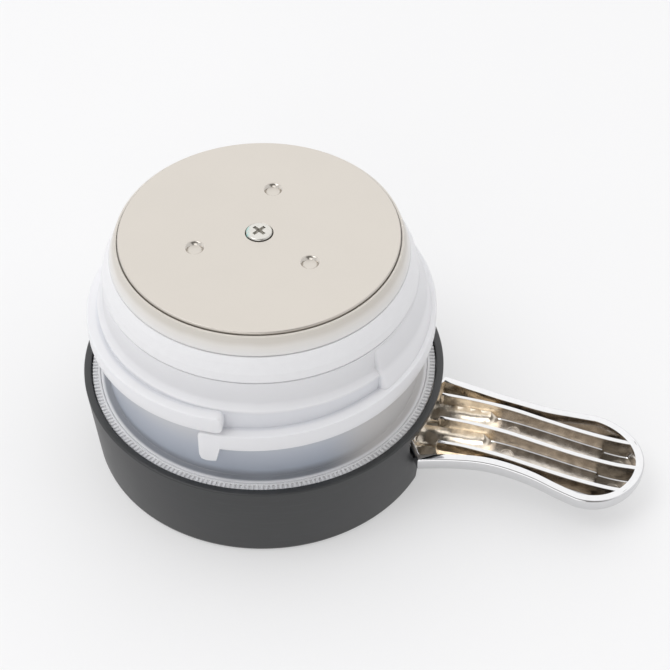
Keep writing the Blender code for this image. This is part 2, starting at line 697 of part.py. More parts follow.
def lever_tray():
    """Lofted dish: (inset, drop) pairs from the underside round the rim to the inner floor."""
    plan = tray_plan()
    heart_x = [min(max(x, ROOT_X + 12.0), TRAY_TIP - TIP_R) for x, y in plan]
    heart = [(x, 0.0) for x in heart_x]
    floor = TRAY_DEPTH - TRAY_FLOOR
    section = ((4.2, TRAY_DEPTH), (1.9, TRAY_DEPTH - 0.9), (0.7, TRAY_DEPTH - 2.3), (0.0, 2.2), (0.0, 0.0),
               (TRAY_WALL, 0.0), (TRAY_WALL, floor))
    rings = [(heart, TRAY_DEPTH)]
    rings += [(inset_points(plan, inset), drop) for inset, drop in section]
    rings.append((heart, floor))
    bm = bmesh.new()
    rows = []
    for points, drop in rings:
        rows.append([bm.verts.new((x * MM, y * MM, (rim_height(x) - drop) * MM)) for x, y in points])
    for row, following in zip(rows, rows[1:]):
        for index in range(len(plan)):
            after = (index + 1) % len(plan)
            bm.faces.new((row[index], row[after], following[after], following[index]))
    bmesh.ops.remove_doubles(bm, verts=bm.verts, dist=0.00001)
    bmesh.ops.dissolve_degenerate(bm, edges=bm.edges, dist=0.000001)
    bmesh.ops.triangulate(bm, faces=bm.faces)
    bmesh.ops.recalc_face_normals(bm, faces=bm.faces)
    mesh = bpy.data.meshes.new("tray")
    bm.to_mesh(mesh)
    bm.free()
    return new_object("tray", mesh, None, TOOLS)


def lever_arm(side):
    """One arm: eye round the pin, bar under the spring, and a rise into the tray."""
    eye = arc(PIVOT_X, PIVOT_Z, PIVOT_Z - ARM_Z0, 90, 270, 8)
    end = TRAY_X0 + 3.0
    rim = rim_height(TRAY_X0)
    profile = eye + [(CAP_R - 15.0, ARM_Z0), (SHIELD_R0 + 1.0, SHIELD_Z0), (end, rim - TRAY_DEPTH + 0.6),
                     (end, rim - TRAY_DEPTH + 3.0), (ROOT_X, SHIELD_Z1 - 1.0), (SHIELD_R0 - 2.5, ARM_Z1)]
    y0, y1 = sorted((side * (ARM_Y - ARM_T / 2), side * (ARM_Y + ARM_T / 2)))
    return outline(f"arm_{'left' if side > 0 else 'right'}", profile, y0, y1, coll=TOOLS, plane="XZ")


def lever():
    body = lever_tray()
    for index, y in enumerate((-ARM_Y, 0.0, ARM_Y)):
        rib = slab(f"rib_{index + 1}", 0.05, TRAY_DEPTH - 0.4, half=RIB_T / 2)
        rib.data.transform(Matrix.Translation((0, y * MM, 0)))
        inside = inset_points(tray_plan(), TRAY_WALL / 2)
        plan = outline(f"rib_plan_{index + 1}", inside, -5.0, 30.0, coll=TOOLS)
        combine(rib, plan, "INTERSECT")
        join(body, rib)
    section = [(SHIELD_R0, SHIELD_Z0), (SHIELD_R1, SHIELD_Z0), (SHIELD_R1, SHIELD_Z1), (SHIELD_R0, SHIELD_Z1)]
    shield = spun("shield", section, -SHIELD_HALF_TURN, 2 * SHIELD_HALF_TURN, steps=12)
    neck = box("neck", (SHIELD_R0 + 0.2, -ARM_Y, SHIELD_Z0 + 0.3), (ROOT_X + 2.0, ARM_Y, SHIELD_Z1 - 1.0))
    pad = box("pad", (-PAD_HALF, -ARM_Y, PAD_TOP - PAD_T), (PAD_HALF, ARM_Y, PAD_TOP))
    for side in (-1, 1):
        join(body, lever_arm(side))
    join(body, shield, neck, pad)
    cut(body, cross_rod("lever_bore", PIN_R + FIT, PIVOT_X, PIVOT_Z, 2 * PIN_HALF))
    made = evaluated_copy(body, "lever", CHROME)
    made.data.transform(Matrix.Translation((-PIVOT_X * MM, 0, -PIVOT_Z * MM)))
    made.location = (PIVOT_X * MM, 0, PIVOT_Z * MM)
    return made


def lever_pin():
    cross_rod("lever_pin", PIN_R, PIVOT_X, PIVOT_Z, PIN_HALF, BRIGHT, PARTS)
    for side, word in ((-1, "right"), (1, "left")):
        clip = ring(f"pin_clip_{word}", PIN_R + FIT, PIN_R + 1.9, -CLIP_T / 2, CLIP_T / 2, BRIGHT, steps=20)
        clip.rotation_euler = (math.pi / 2, 0, 0)
        clip.location = (PIVOT_X * MM, side * (PIN_HALF - FIT - CLIP_T / 2) * MM, PIVOT_Z * MM)


def main():
    cap_shell()
    stopper_body()
    body_rings()
    cap_screws()
    valve_disc()
    valve_fastening()
    valve_seal()
    valve_carrier()
    valve_stem()
    stem_cap()
    return_spring(stem_guide())
    lever()
    lever_pin()
    for obj in PARTS.objects:
        shade(obj)


main()
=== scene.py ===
"""Looks of the pouring stopper: milky screw body, satin disc, black collar and chromed lever.

Sizes are in millimetres, and each piece is built in place round the stopper's own axis.
"""
import math

import bmesh
import bpy
from mathutils import Matrix, Vector


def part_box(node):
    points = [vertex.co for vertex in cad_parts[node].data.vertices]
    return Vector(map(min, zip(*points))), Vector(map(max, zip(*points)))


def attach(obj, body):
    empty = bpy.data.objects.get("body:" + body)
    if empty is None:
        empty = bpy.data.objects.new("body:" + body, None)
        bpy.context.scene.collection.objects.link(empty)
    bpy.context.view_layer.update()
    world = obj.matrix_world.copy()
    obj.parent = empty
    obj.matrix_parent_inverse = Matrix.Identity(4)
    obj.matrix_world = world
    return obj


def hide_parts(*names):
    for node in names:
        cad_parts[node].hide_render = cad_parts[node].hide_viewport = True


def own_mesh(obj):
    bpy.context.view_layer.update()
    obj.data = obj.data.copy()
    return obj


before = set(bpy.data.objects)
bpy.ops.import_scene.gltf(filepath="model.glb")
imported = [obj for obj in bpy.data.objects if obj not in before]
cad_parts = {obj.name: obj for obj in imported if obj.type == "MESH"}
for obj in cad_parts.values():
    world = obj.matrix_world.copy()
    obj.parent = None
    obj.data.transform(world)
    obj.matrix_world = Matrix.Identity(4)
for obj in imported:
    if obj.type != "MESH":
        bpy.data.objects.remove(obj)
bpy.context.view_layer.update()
MM = 0.001


# ---------------------------------------------------------------- sizes from the frame

def top(node):
    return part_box(node)[1].z / MM


def bottom(node):
    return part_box(node)[0].z / MM


def radius(node):
    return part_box(node)[1].y / MM


GAP = 0.3                               # between neighbouring pieces
COLLAR_R = radius("cap_shell")
COLLAR_H = top("cap_shell")
FOOT_R = COLLAR_R - 2.1                 # the collar narrows towards the resting face
RIM_R = COLLAR_R - 2.0                  # inside of the collar's rim
STEP_R = COLLAR_R - 2.8                 # inside of the wall under the rim
PLATE_T = 2.2
FLANGE_TOP = top("locating_ring")
FLANGE_UNDER = bottom("locating_ring")
RING_R = radius("locating_ring")
RING_IN_R = RING_R - 2.1
TOOTH_COUNT = 236
FLANGE_R = RING_IN_R - 0.08
LEDGE_R = STEP_R - 6.0
LEDGE_TOP = bottom("flange_seal") - GAP
LEDGE_UNDER = LEDGE_TOP - 1.5
NOTCH_TOP = COLLAR_H - 1.9
BOSS_PLACE = 31.0
WALL_R = 42.0                           # body wall under the thread
WALL_T = 2.0
SHOULDER = 48.8
GASKET_LOW = bottom("mouth_gasket")
GASKET_HIGH = top("mouth_gasket")
GASKET_R = radius("mouth_gasket")
NOSE_R = 38.0
NECK_END_R = 36.3
BODY_TOP = top("stopper_body")
GROOVE_R = GASKET_R - 3.9
SEAT_R = 27.0
THREAD_R = 45.3
THREAD_LOW = 37.6
THREAD_H = 5.0
THREAD_LEAD = 11.4
THREAD_START = -93.0
THREAD_TURN = 188.2
LUG_H = 5.0                             # below the thread, at its first end
LUG_END = 7.15
DISC_R = radius("valve_disc")
DISC_TOP = top("valve_disc")
SHEET = 0.6
CUP_R = 3.95                            # pressed well round the screw
CUP_FLOOR = bottom("disc_washer") - GAP
SCREW_LOW = top("disc_washer") + GAP    # under the screw head
WELL_R = 3.52                           # mouth of that well
SCREW_R = 3.34
SCREW_ASIDE = (-0.05, 0.14)             # the head sits a little off the middle of its well
DIMPLE_PLACE = 16.8
DIMPLE_TURN = -24.5                     # azimuth of the first dimple, in degrees
RECESS_TURN = 61.0                      # azimuth of one slot of the screw's recess
PIVOT_X = (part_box("lever_pin")[0].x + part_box("lever_pin")[1].x) / 2 / MM
PIVOT_Z = (top("lever_pin") + bottom("lever_pin")) / 2
TIP_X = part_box("lever")[1].x / MM
PADDLE_R = 15.2


# ---------------------------------------------------------------- node trees

class Value:
    """A number that runs through a node tree."""

    def __init__(self, graph, socket):
        self.graph = graph
        self.socket = socket

    def maths(self, operation, *others):
        sockets = {index: value for index, value in enumerate((self, *others))}
        return self.graph.value("ShaderNodeMath", {"operation": operation}, sockets)

    def __add__(self, other):
        return self.maths("ADD", other)

    def __mul__(self, other):
        return self.maths("MULTIPLY", other)

    def __sub__(self, other):
        return self.maths("SUBTRACT", other)

    def __truediv__(self, other):
        return self.maths("DIVIDE", other)

    def __rsub__(self, other):
        return self.graph.value("ShaderNodeMath", {"operation": "SUBTRACT"}, {0: other, 1: self})

    __radd__ = __add__
    __rmul__ = __mul__

    def between(self, low, high, start=0.0, end=1.0):
        """Ease from one value to another as this one goes from low to high."""
        settings = {"interpolation_type": "SMOOTHSTEP"}
        sockets = {"Value": self, "From Min": low, "From Max": high, "To Min": start, "To Max": end}
        return self.graph.value("ShaderNodeMapRange", settings, sockets)


class Graph:
    """A node tree that is filled one node at a time."""

    def __init__(self, tree):
        self.tree = tree

    def node(self, kind, settings=None, sockets=None):
        made = self.tree.nodes.new(kind)
        for name, setting in (settings or {}).items():
            if name == "stops":
                for index, (place, color) in enumerate(setting):
                    stops = made.color_ramp.elements
                    stop = stops[index] if index < 2 else stops.new(place)
                    stop.position = place
                    stop.color = (*color, 1.0)
            else:
                setattr(made, name, setting)
        for key, value in (sockets or {}).items():
            if isinstance(value, Value):
                value = value.socket
            if isinstance(value, bpy.types.NodeSocket):
                self.tree.links.new(value, made.inputs[key])
            else:
                made.inputs[key].default_value = value
        return made

    def value(self, kind, settings=None, sockets=None, output=0):
        return Value(self, self.node(kind, settings, sockets).outputs[output])

    def tint(self, first, second, share):
        """Go from one colour to another."""
        colors = {0: share}
        for key, color in ((6, first), (7, second)):
            colors[key] = (*color, 1.0) if isinstance(color, tuple) else color
        return self.node("ShaderNodeMix", {"data_type": "RGBA"}, colors).outputs[2]


class Finish(Graph):
    """A material with one glossy shader."""

    def __init__(self, name):
        self.material = bpy.data.materials.new(name)
        self.material.use_nodes = True
        super().__init__(self.material.node_tree)
        self.shader = self.tree.nodes["Principled BSDF"]
        self.place = self.node("ShaderNodeTexCoord").outputs["Object"]

    def stretched(self, scale, turn=(0.0, 0.0, 0.0)):
        sockets = {"Vector": self.place, "Scale": scale, "Rotation": turn}
        return self.node("ShaderNodeMapping", None, sockets).outputs[0]

    def noise(self, size, detail=2.0, rough=0.5, where=None):
        """Clouds of about one size in mm, round 0.5."""
        sockets = {"Vector": where or self.place, "Scale": 1 / (size * MM), "Detail": detail,
                   "Roughness": rough}
        return self.value("ShaderNodeTexNoise", None, sockets)

    def axis(self, index):
        return self.value("ShaderNodeSeparateXYZ", None, {0: self.place}, index) / MM

    def bump(self, height, depth, after=None):
        """Relief of a height of 0 to 1 that is depth mm deep."""
        sockets = {"Strength": 1.0, "Distance": depth * MM, "Height": height}
        if after:
            sockets["Normal"] = after
        return self.node("ShaderNodeBump", None, sockets).outputs[0]

    def set(self, **sockets):
        for key, value in sockets.items():
            socket = self.shader.inputs[key.replace("_", " ")]
            if isinstance(value, Value):
                value = value.socket
            if isinstance(value, bpy.types.NodeSocket):
                self.tree.links.new(value, socket)
            else:
                socket.default_value = (*value, 1.0) if isinstance(value, tuple) else value
        return self.material


# ---------------------------------------------------------------- finishes

def satin_black():
    paint = Finish("satin_black_plastic")
    scuffs = paint.noise(0.5, 3.0, 0.6, paint.stretched((0.05, 0.05, 1.0)))
    clouds = paint.noise(9.0, 3.0)
    grain = paint.noise(0.35, 2.0)
    shade = scuffs.between(0.45, 0.75) * 0.35 + clouds * 0.3
    return paint.set(
        Base_Color=paint.tint((0.019, 0.020, 0.021), (0.042, 0.043, 0.046), shade),
        Roughness=0.34 + clouds * 0.08 + scuffs * 0.10,
        Normal=paint.bump(grain, 0.006),
        Specular_IOR_Level=0.55,
    )


def milky_plastic(name, clear, color):
    paint = Finish(name)
    flow = paint.noise(7.0, 3.0, 0.5, paint.stretched((1.0, 1.0, 0.35)))
    grain = paint.noise(0.5, 2.0)
    return paint.set(
        Base_Color=paint.tint(color, tuple(min(1.0, c * 1.07) for c in color), flow.between(0.35, 0.65)),
        Roughness=0.30 + flow * 0.10 + grain * 0.04,
        Normal=paint.bump(flow, 0.05, paint.bump(grain, 0.004)),
        Transmission_Weight=clear,
        IOR=1.45,
    )


def milky_wall():
    """Body: painted shade makes it darker and bluish low down where the wall is thin, with a painted
    highlight at the shoulder, a painted brownish shadow and reflection under the disc, a painted warm
    reflection towards the lever, and white where it is thick.
    """
    paint = Finish("milky_body_wall")
    flow = paint.noise(7.0, 3.0, 0.5, paint.stretched((1.0, 1.0, 0.35)))
    grain = paint.noise(0.5, 2.0)
    level = {0: paint.place, 1: (1.0, 1.0, 0.0)}
    flat = paint.node("ShaderNodeVectorMath", {"operation": "MULTIPLY"}, level)
    across = paint.value("ShaderNodeVectorMath", {"operation": "LENGTH"}, {0: flat.outputs[0]}, 1) / MM
    height = paint.axis(2) + (flow - 0.5) * 0.8
    # painted light by height: painted shade low on the thin wall, a painted highlight at the shoulder,
    # painted shadow and reflection at the top under the disc
    painted_light_tones = (
        (FLANGE_TOP, (0.31, 0.325, 0.36)), (27.0, (0.46, 0.505, 0.585)), (33.0, (0.54, 0.575, 0.645)),
        (THREAD_LOW + 0.5, (0.66, 0.675, 0.71)), (THREAD_LOW + THREAD_H, (0.81, 0.82, 0.86)),
        (SHOULDER - 0.6, (0.83, 0.84, 0.875)), (SHOULDER + 0.2, (0.92, 0.92, 0.94)),
        (51.0, (0.82, 0.82, 0.84)), (GASKET_LOW - 0.5, (0.87, 0.87, 0.89)),
        (GASKET_HIGH + 0.5, (0.90, 0.89, 0.88)),
        (BODY_TOP - 1.2, (0.87, 0.84, 0.80)), (BODY_TOP, (0.74, 0.70, 0.64)),
    )
    span = BODY_TOP - FLANGE_TOP
    stops = [((z - FLANGE_TOP) / span, painted_light_tone) for z, painted_light_tone in painted_light_tones]
    wall = paint.node("ShaderNodeValToRGB", {"stops": stops}, {0: (height - FLANGE_TOP) / span}).outputs[0]
    # painted warm reflection of the lever on the lower wall beside it
    warm = paint.axis(0).between(25.0, 37.0) * height.between(THREAD_LOW + 1.0, THREAD_LOW - 2.0)
    wall = paint.tint(wall, (0.66, 0.645, 0.635), warm)
    # the painted shade is left off where the plastic is thick
    thick = across.between(WALL_R + 0.4, WALL_R + 1.2)
    return paint.set(
        Base_Color=paint.tint(wall, (0.92, 0.92, 0.94), thick),
        Roughness=0.30 + flow * 0.10 + grain * 0.04,
        Normal=paint.bump(flow, 0.05, paint.bump(grain, 0.004)),
        Transmission_Weight=0.22,
        IOR=1.45,
    )


def satin_sheet(name="satin_stainless_sheet", rough=0.30, fine=1.0):
    paint = Finish(name)
    grain = paint.noise(0.16, 3.0, 0.7)
    clouds = paint.noise(14.0, 2.0)
    rolled = paint.noise(0.25, 2.0, 0.6, paint.stretched((1.0, 0.08, 1.0), (0.0, 0.0, 0.5)))
    return paint.set(
        Base_Color=paint.tint((0.530, 0.498, 0.455), (0.578, 0.541, 0.494), grain * 0.6 + clouds * 0.4),
        Metallic=1.0,
        Roughness=rough + (grain + rolled) * 0.08 * fine,
        Normal=paint.bump(grain, 0.0035 * fine, paint.bump(rolled, 0.002)),
    )


def chrome_plate():
    paint = Finish("chrome_plate")
    ripple = paint.noise(5.0, 2.0, 0.4)
    haze = paint.noise(1.6, 3.0)
    return paint.set(
        Base_Color=paint.tint((0.64, 0.64, 0.65), (0.70, 0.70, 0.705), haze),
        Metallic=1.0,
        Roughness=0.045 + haze.between(0.4, 0.8) * 0.05,
        Normal=paint.bump(ripple, 0.03),
    )


def thin_plate():
    """Inside the lever the chrome is thin and the warm nickel under it shows; it is painted brighter and
    more golden near the collar as a painted highlight, and darker along the handle and at the tip as
    painted shade.
    """
    paint = Finish("warm_nickel_plate")
    ripple = paint.noise(3.4, 2.0, 0.5)
    blotch = paint.noise(2.4, 3.0, 0.5)
    along = paint.axis(0)
    # painted shade along the handle and, darker still, at the tip
    handle = along.between(61.5, 64.0)
    tip = along.between(90.0, 93.0)
    # painted golden highlight at the root near the collar
    painted_light_tone = paint.tint((0.84, 0.755, 0.635), (0.64, 0.59, 0.53), handle)
    painted_light_tone = paint.tint(painted_light_tone, (0.50, 0.465, 0.42), tip)
    light = paint.tint((0.74, 0.73, 0.72), (1.0, 1.0, 1.0), blotch.between(0.3, 0.7))
    return paint.set(
        Base_Color=paint.node("ShaderNodeMix", {"data_type": "RGBA", "blend_type": "MULTIPLY"},
                              {0: 1.0, 6: painted_light_tone, 7: light}).outputs[2],
        Metallic=1.0,
        Roughness=0.14 + blotch * 0.12,
        Normal=paint.bump(ripple, 0.08),
    )


def bright_steel():
    paint = Finish("bright_steel")
    haze = paint.noise(0.8, 3.0)
    lines = paint.noise(0.3, 2.0, 0.5, paint.stretched((0.2, 1.0, 1.0)))
    return paint.set(
        Base_Color=paint.tint((0.52, 0.51, 0.49), (0.66, 0.65, 0.63), haze),
        Metallic=1.0,
        Roughness=0.18 + haze * 0.14,
        Normal=paint.bump(lines, 0.004),
    )


def screw_steel():
    """Screw of the disc, with a trace of thread sealant at one side of its head."""
    paint = Finish("screw_steel")
    haze = paint.noise(0.7, 3.0)
    side = paint.axis(0) * -0.961 + paint.axis(1) * -0.276
    sealant = side.between(2.0, 3.1) * haze.between(0.40, 0.55)
    steel = paint.tint((0.50, 0.49, 0.46), (0.66, 0.64, 0.60), haze)
    return paint.set(
        Base_Color=paint.tint(steel, (0.33, 0.55, 0.52), sealant),
        Metallic=1.0 - sealant,
        Roughness=0.22 + haze * 0.16,
        Normal=paint.bump(haze, 0.01),
    )


def soft_rubber(name, color, rough, clear=0.0):
    paint = Finish(name)
    dust = paint.noise(2.2, 4.0, 0.6)
    grain = paint.noise(0.3, 2.0)
    return paint.set(
        Base_Color=paint.tint(tuple(c * 0.94 for c in color), color, dust),
        Roughness=rough + grain * 0.12,
        Normal=paint.bump(grain, 0.008),
        Transmission_Weight=clear,
        IOR=1.41,
    )


def studio_floor():
    paint = Finish("pale_studio_floor")
    clouds = paint.noise(60.0, 2.0)
    return paint.set(
        Base_Color=paint.tint((0.46, 0.46, 0.465), (0.475, 0.475, 0.48), clouds),
        Roughness=0.75 + clouds * 0.1,
        Normal=paint.bump(paint.noise(0.8, 2.0), 0.01),
        Specular_IOR_Level=0.2,
        Emission_Color=(1.0, 1.0, 1.0),
        Emission_Strength=0.40,
    )


SATIN_BLACK = satin_black()
MILKY = milky_wall()
MILKY_DENSE = milky_plastic("dense_polypropylene", 0.15, (0.81, 0.81, 0.82))
SATIN_SHEET = satin_sheet()
PRESSED_SHEET = satin_sheet("pressed_stainless_sheet", 0.12, 0.4)
CHROME = chrome_plate()
NICKEL = thin_plate()
STEEL = bright_steel()
SCREW_STEEL = screw_steel()
WHITE_SILICONE = soft_rubber("white_silicone", (0.87, 0.87, 0.885), 0.40, 0.10)
GREY_SILICONE = soft_rubber("grey_silicone", (0.50, 0.47, 0.43), 0.45, 0.1)
ACETAL = soft_rubber("natural_acetal", (0.80, 0.79, 0.75), 0.30, 0.1)
BLACK_RUBBER = soft_rubber("black_rubber", (0.022, 0.022, 0.022), 0.55)


# ---------------------------------------------------------------- mesh helpers

def new_piece(name, mesh, *materials):
    obj = bpy.data.objects.new(name, mesh)
    bpy.context.scene.collection.objects.link(obj)
    for material in materials:
        mesh.materials.append(material)
    return obj


def from_bmesh(name, bm, *materials, merge=0.002):
    """Weld, turn the faces outwards and keep as a piece."""
    bmesh.ops.remove_doubles(bm, verts=bm.verts, dist=merge * MM)
    bmesh.ops.dissolve_degenerate(bm, edges=bm.edges, dist=merge * MM / 4)
    bmesh.ops.recalc_face_normals(bm, faces=bm.faces)
    mesh = bpy.data.meshes.new(name)
    bm.to_mesh(mesh)
    bm.free()
    return new_piece(name, mesh, *materials)


def smooth(obj, angle=32.0):
    obj.data.shade_smooth()
    obj.data.set_sharp_from_angle(angle=math.radians(angle))


def settle(obj):
    """Turn what the modifiers make into the piece's own plain mesh."""
    graph = bpy.context.evaluated_depsgraph_get()
    mesh = bpy.data.meshes.new_from_object(obj.evaluated_get(graph), depsgraph=graph)
    obj.modifiers.clear()
    obj.data = mesh
    return obj


def rounded(corners, parts=4):
    """Points of a closed outline whose corners (a, b, rounding) are filleted."""
    points = []
    for index, corner in enumerate(corners):
        here = Vector(corner[:2])
        fillet = corner[2] if len(corner) > 2 else 0.0
        before = Vector(corners[index - 1][:2]) - here
        after = Vector(corners[(index + 1) % len(corners)][:2]) - here
        if fillet <= 0.0 or before.length < 1e-6 or after.length < 1e-6:
            points.append(tuple(here))
            continue
        half = before.angle(after) / 2
        reach = min(fillet / math.tan(half), 0.49 * before.length, 0.49 * after.length)
        start = here + before.normalized() * reach
        end = here + after.normalized() * reach
        for step in range(parts + 1):
            t = step / parts
            points.append(tuple(start * (1 - t) ** 2 + here * 2 * t * (1 - t) + end * t ** 2))
    return points


def turned(name, corners, *materials, steps=240):
    """Turn a closed outline of (radius, height, rounding) about the axis."""
    points = rounded(corners)
    bm = bmesh.new()
    rows = []
    for step in range(steps):
        a = 2 * math.pi * step / steps
        rows.append([bm.verts.new((r * math.cos(a) * MM, r * math.sin(a) * MM, z * MM)) for r, z in points])
    for step, row in enumerate(rows):
        following = rows[(step + 1) % steps]
        for index in range(len(points)):
            after = (index + 1) % len(points)
            if points[index][0] < 1e-6 and points[after][0] < 1e-6:
                continue
            bm.faces.new((row[index], following[index], following[after], row[after]))
    return from_bmesh(name, bm, *materials)


def lofted(bm, sections):
    """Join rings of points, in mm, into a tube with closed ends."""
    rows = [[bm.verts.new(Vector(point) * MM) for point in section] for section in sections]
    for row, following in zip(rows, rows[1:]):
        for index in range(len(row)):
            after = (index + 1) % len(row)
            bm.faces.new((row[index], row[after], following[after], following[index]))
    bm.faces.new(reversed(rows[0]))
    bm.faces.new(rows[-1])


def plate(name, corners, low, high, *materials, plane="XY", edge=0.0, parts=4):
    """A flat plate of a filleted outline between two levels, with rounded edges."""
    axes = {"XY": (0, 1, 2), "XZ": (0, 2, 1), "YZ": (1, 2, 0)}[plane]
    points = rounded(corners, parts)
    bm = bmesh.new()
    rows = []
    for level in (low, high):
        row = []
        for a, b in points:
            place = [0.0, 0.0, 0.0]
            place[axes[0]] = a * MM
            place[axes[1]] = b * MM
            place[axes[2]] = level * MM
            row.append(bm.verts.new(place))
        rows.append(row)
    for index in range(len(points)):
        after = (index + 1) % len(points)
        bm.faces.new((rows[0][index], rows[0][after], rows[1][after], rows[1][index]))
    bm.faces.new(rows[0])
    bm.faces.new(rows[1])
    obj = from_bmesh(name, bm, *materials)
    if edge:
        bevel = obj.modifiers.new("edge", "BEVEL")
        bevel.width = edge * MM
        bevel.segments = 3
        bevel.limit_method = "ANGLE"
        bevel.angle_limit = math.radians(50)
        settle(obj)
    return obj


def shaped(obj, tool, operation):
    """Add or cut away a tool and drop it."""
    step = obj.modifiers.new("shape", "BOOLEAN")
    step.operation = operation
    step.object = tool
    step.solver = "EXACT"
    settle(obj)
    bpy.data.objects.remove(tool, do_unlink=True)
    return obj


def joined(name, *pieces):
    """Gather pieces into one mesh, each keeping its own materials."""
    bm = bmesh.new()
    materials = []
    for piece in pieces:
        slots = []
        for material in piece.data.materials:
            if material not in materials:
                materials.append(material)
            slots.append(materials.index(material))
        copy = piece.data.copy()
        for face in copy.polygons:
            face.material_index = slots[min(face.material_index, len(slots) - 1)] if slots else 0
        bm.from_mesh(copy)
        bpy.data.objects.remove(piece, do_unlink=True)
    mesh = bpy.data.meshes.new(name)
    bm.to_mesh(mesh)
    bm.free()
    return new_piece(name, mesh, *materials)


def curve_through(points):
    """A smooth function through a table of (place, value)."""
    places = [p for p, _ in points]
    values = [v for _, v in points]
    slopes = []
    for index in range(len(points)):
        low = max(index - 1, 0)
        high = min(index + 1, len(points) - 1)
        slopes.append((values[high] - values[low]) / (places[high] - places[low]))

    def at(x):
        x = min(max(x, places[0]), places[-1])
        index = max(i for i in range(len(points) - 1) if places[i] <= x or i == 0)
        span = places[index + 1] - places[index]
        t = (x - places[index]) / span
        return ((1 + 2 * t) * (1 - t) ** 2 * values[index] + t * (1 - t) ** 2 * span * slopes[index]
                + t * t * (3 - 2 * t) * values[index + 1] + t * t * (t - 1) * span * slopes[index + 1])

    return at


def polar(r, degrees, z=0.0):
    a = math.radians(degrees)
    return (r * math.cos(a), r * math.sin(a), z)


# ---------------------------------------------------------------- repeats

class Repeat(Graph):
    """A geometry tree that sets copies of a small mesh round the axis."""

    def __init__(self, name):
        super().__init__(bpy.data.node_groups.new(name, "GeometryNodeTree"))
        self.tree.is_modifier = True
        self.tree.interface.new_socket("Geometry", in_out="INPUT", socket_type="NodeSocketGeometry")
        self.tree.interface.new_socket("Geometry", in_out="OUTPUT", socket_type="NodeSocketGeometry")
        self.sizes = {}

    def size(self, name, value, kind="NodeSocketFloat"):
        self.sizes[name] = (self.tree.interface.new_socket(name, in_out="INPUT", socket_type=kind), value)

    def start(self):
        self.input = self.node("NodeGroupInput")

    def given(self, name):
        return Value(self, self.input.outputs[name])

    def finish(self, geometry, material):
        plain = self.node("GeometryNodeRealizeInstances", None, {0: geometry}).outputs[0]
        coated = self.node("GeometryNodeSetMaterial", None, {0: plain, "Material": material}).outputs[0]
        self.node("NodeGroupOutput", None, {0: coated})

    def applied(self, obj):
        step = obj.modifiers.new("repeat", "NODES")
        step.node_group = self.tree
        for socket, value in self.sizes.values():
            step[socket.identifier] = value
        return settle(obj)


def round_the_axis(obj, count, material, first=0.0):
    """Copies of a piece at equal steps about the axis, the first turned by so many degrees."""
    tree = Repeat(obj.name + "_repeat")
    tree.size("Count", count, "NodeSocketInt")
    tree.size("First", math.radians(first))
    tree.size("Spacing", 2 * math.pi / count)
    tree.start()
    sockets = {"Count": tree.given("Count"), "Offset": (0.0, 0.0, 0.0)}
    line = tree.node("GeometryNodeMeshLine", None, sockets)
    index = tree.value("GeometryNodeInputIndex")
    turn = tree.node("ShaderNodeCombineXYZ", None, {2: index * tree.given("Spacing") + tree.given("First")})
    sockets = {"Points": line.outputs[0], "Instance": tree.input.outputs[0], "Rotation": turn.outputs[0]}
    copies = tree.node("GeometryNodeInstanceOnPoints", None, sockets)
    tree.finish(copies.outputs[0], material)
    return tree.applied(obj)


# ---------------------------------------------------------------- collar and cap

def notch_tool():
    """The opening in the collar that the lever comes out of."""
    half = 9.7
    side = [(half, -1.0, 0.0), (half, 6.6, 1.0), (11.8, 10.4, 2.0), (14.6, 14.4, 2.0), (16.4, 18.4, 2.0),
            (17.3, NOTCH_TOP, 1.2)]
    outline = side + [(-y, z, f) for y, z, f in reversed(side)]
    return plate("notch_tool", outline, 43.4, 60.0, plane="YZ")


def bay_tool():
    """Room for the lever's curved shield behind the notch."""
    bm = bmesh.new()
    low = LEDGE_UNDER - 6.0
    high = NOTCH_TOP - 1.0
    inner = STEP_R - 4.4
    outer = STEP_R - 0.4
    section = ((inner, low), (outer, low), (outer, high), (inner, high))
    lofted(bm, [[polar(r, az, z) for r, z in section] for az in range(-24, 25, 2)])
    return from_bmesh("bay_tool", bm)


def collar():
    """The black cap: a tapered collar on a flat plate, with bosses, lugs and stops inside."""
    inner = FOOT_R - 2.3
    seat = FLANGE_UNDER - GAP
    outline = [
        (RIM_R, COLLAR_H, 0.25), (COLLAR_R, COLLAR_H, 0.5), (FOOT_R, 0.0, 1.7), (FOOT_R - 4.0, 0.0),
        (FOOT_R - 4.4, 0.25, 0.3), (30.0, 0.25), (0.0, 0.25), (0.0, PLATE_T), (inner, PLATE_T, 1.2),
        (STEP_R, LEDGE_UNDER, 0.2), (LEDGE_R, LEDGE_UNDER, 0.3), (LEDGE_R, LEDGE_TOP, 0.3),
        (STEP_R, LEDGE_TOP, 0.3), (STEP_R, seat, 0.2), (RIM_R, seat, 0.2),
    ]
    shell = turned("collar", outline, SATIN_BLACK, steps=288)
    shaped(shell, notch_tool(), "DIFFERENCE")
    shaped(shell, bay_tool(), "DIFFERENCE")
    sunk = PLATE_T - 0.6
    boss = turned("boss", [(4.0, sunk), (4.0, seat, 0.3), (1.6, seat), (1.6, sunk)], SATIN_BLACK, steps=32)
    boss.data.transform(Matrix.Translation((BOSS_PLACE * MM, 0, 0)))
    round_the_axis(boss, 3, SATIN_BLACK, 60.0)
    lugs = []
    for side in (-1, 1):
        y0, y1 = sorted((side * 9.6, side * 12.6))
        outline = [(PIVOT_X - 4, sunk), (PIVOT_X - 4, PIVOT_Z + 4, 3.4), (PIVOT_X + 4, PIVOT_Z + 4, 3.4),
                   (PIVOT_X + 4, sunk)]
        lugs.append(plate(f"lug_{side}", outline, y0, y1, SATIN_BLACK, plane="XZ"))
        y0, y1 = sorted((side * 6.5, side * 9.5))
        outline = [(32.0, sunk), (32.0, 5.3, 0.6), (37.0, 5.3, 0.6), (37.0, sunk)]
        lugs.append(plate(f"stop_{side}", outline, y0, y1, SATIN_BLACK, plane="XZ"))
    made = joined("collar", shell, boss, *lugs)
    smooth(made)
    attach(made, "stopper")
    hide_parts("cap_shell")


# ---------------------------------------------------------------- screw body

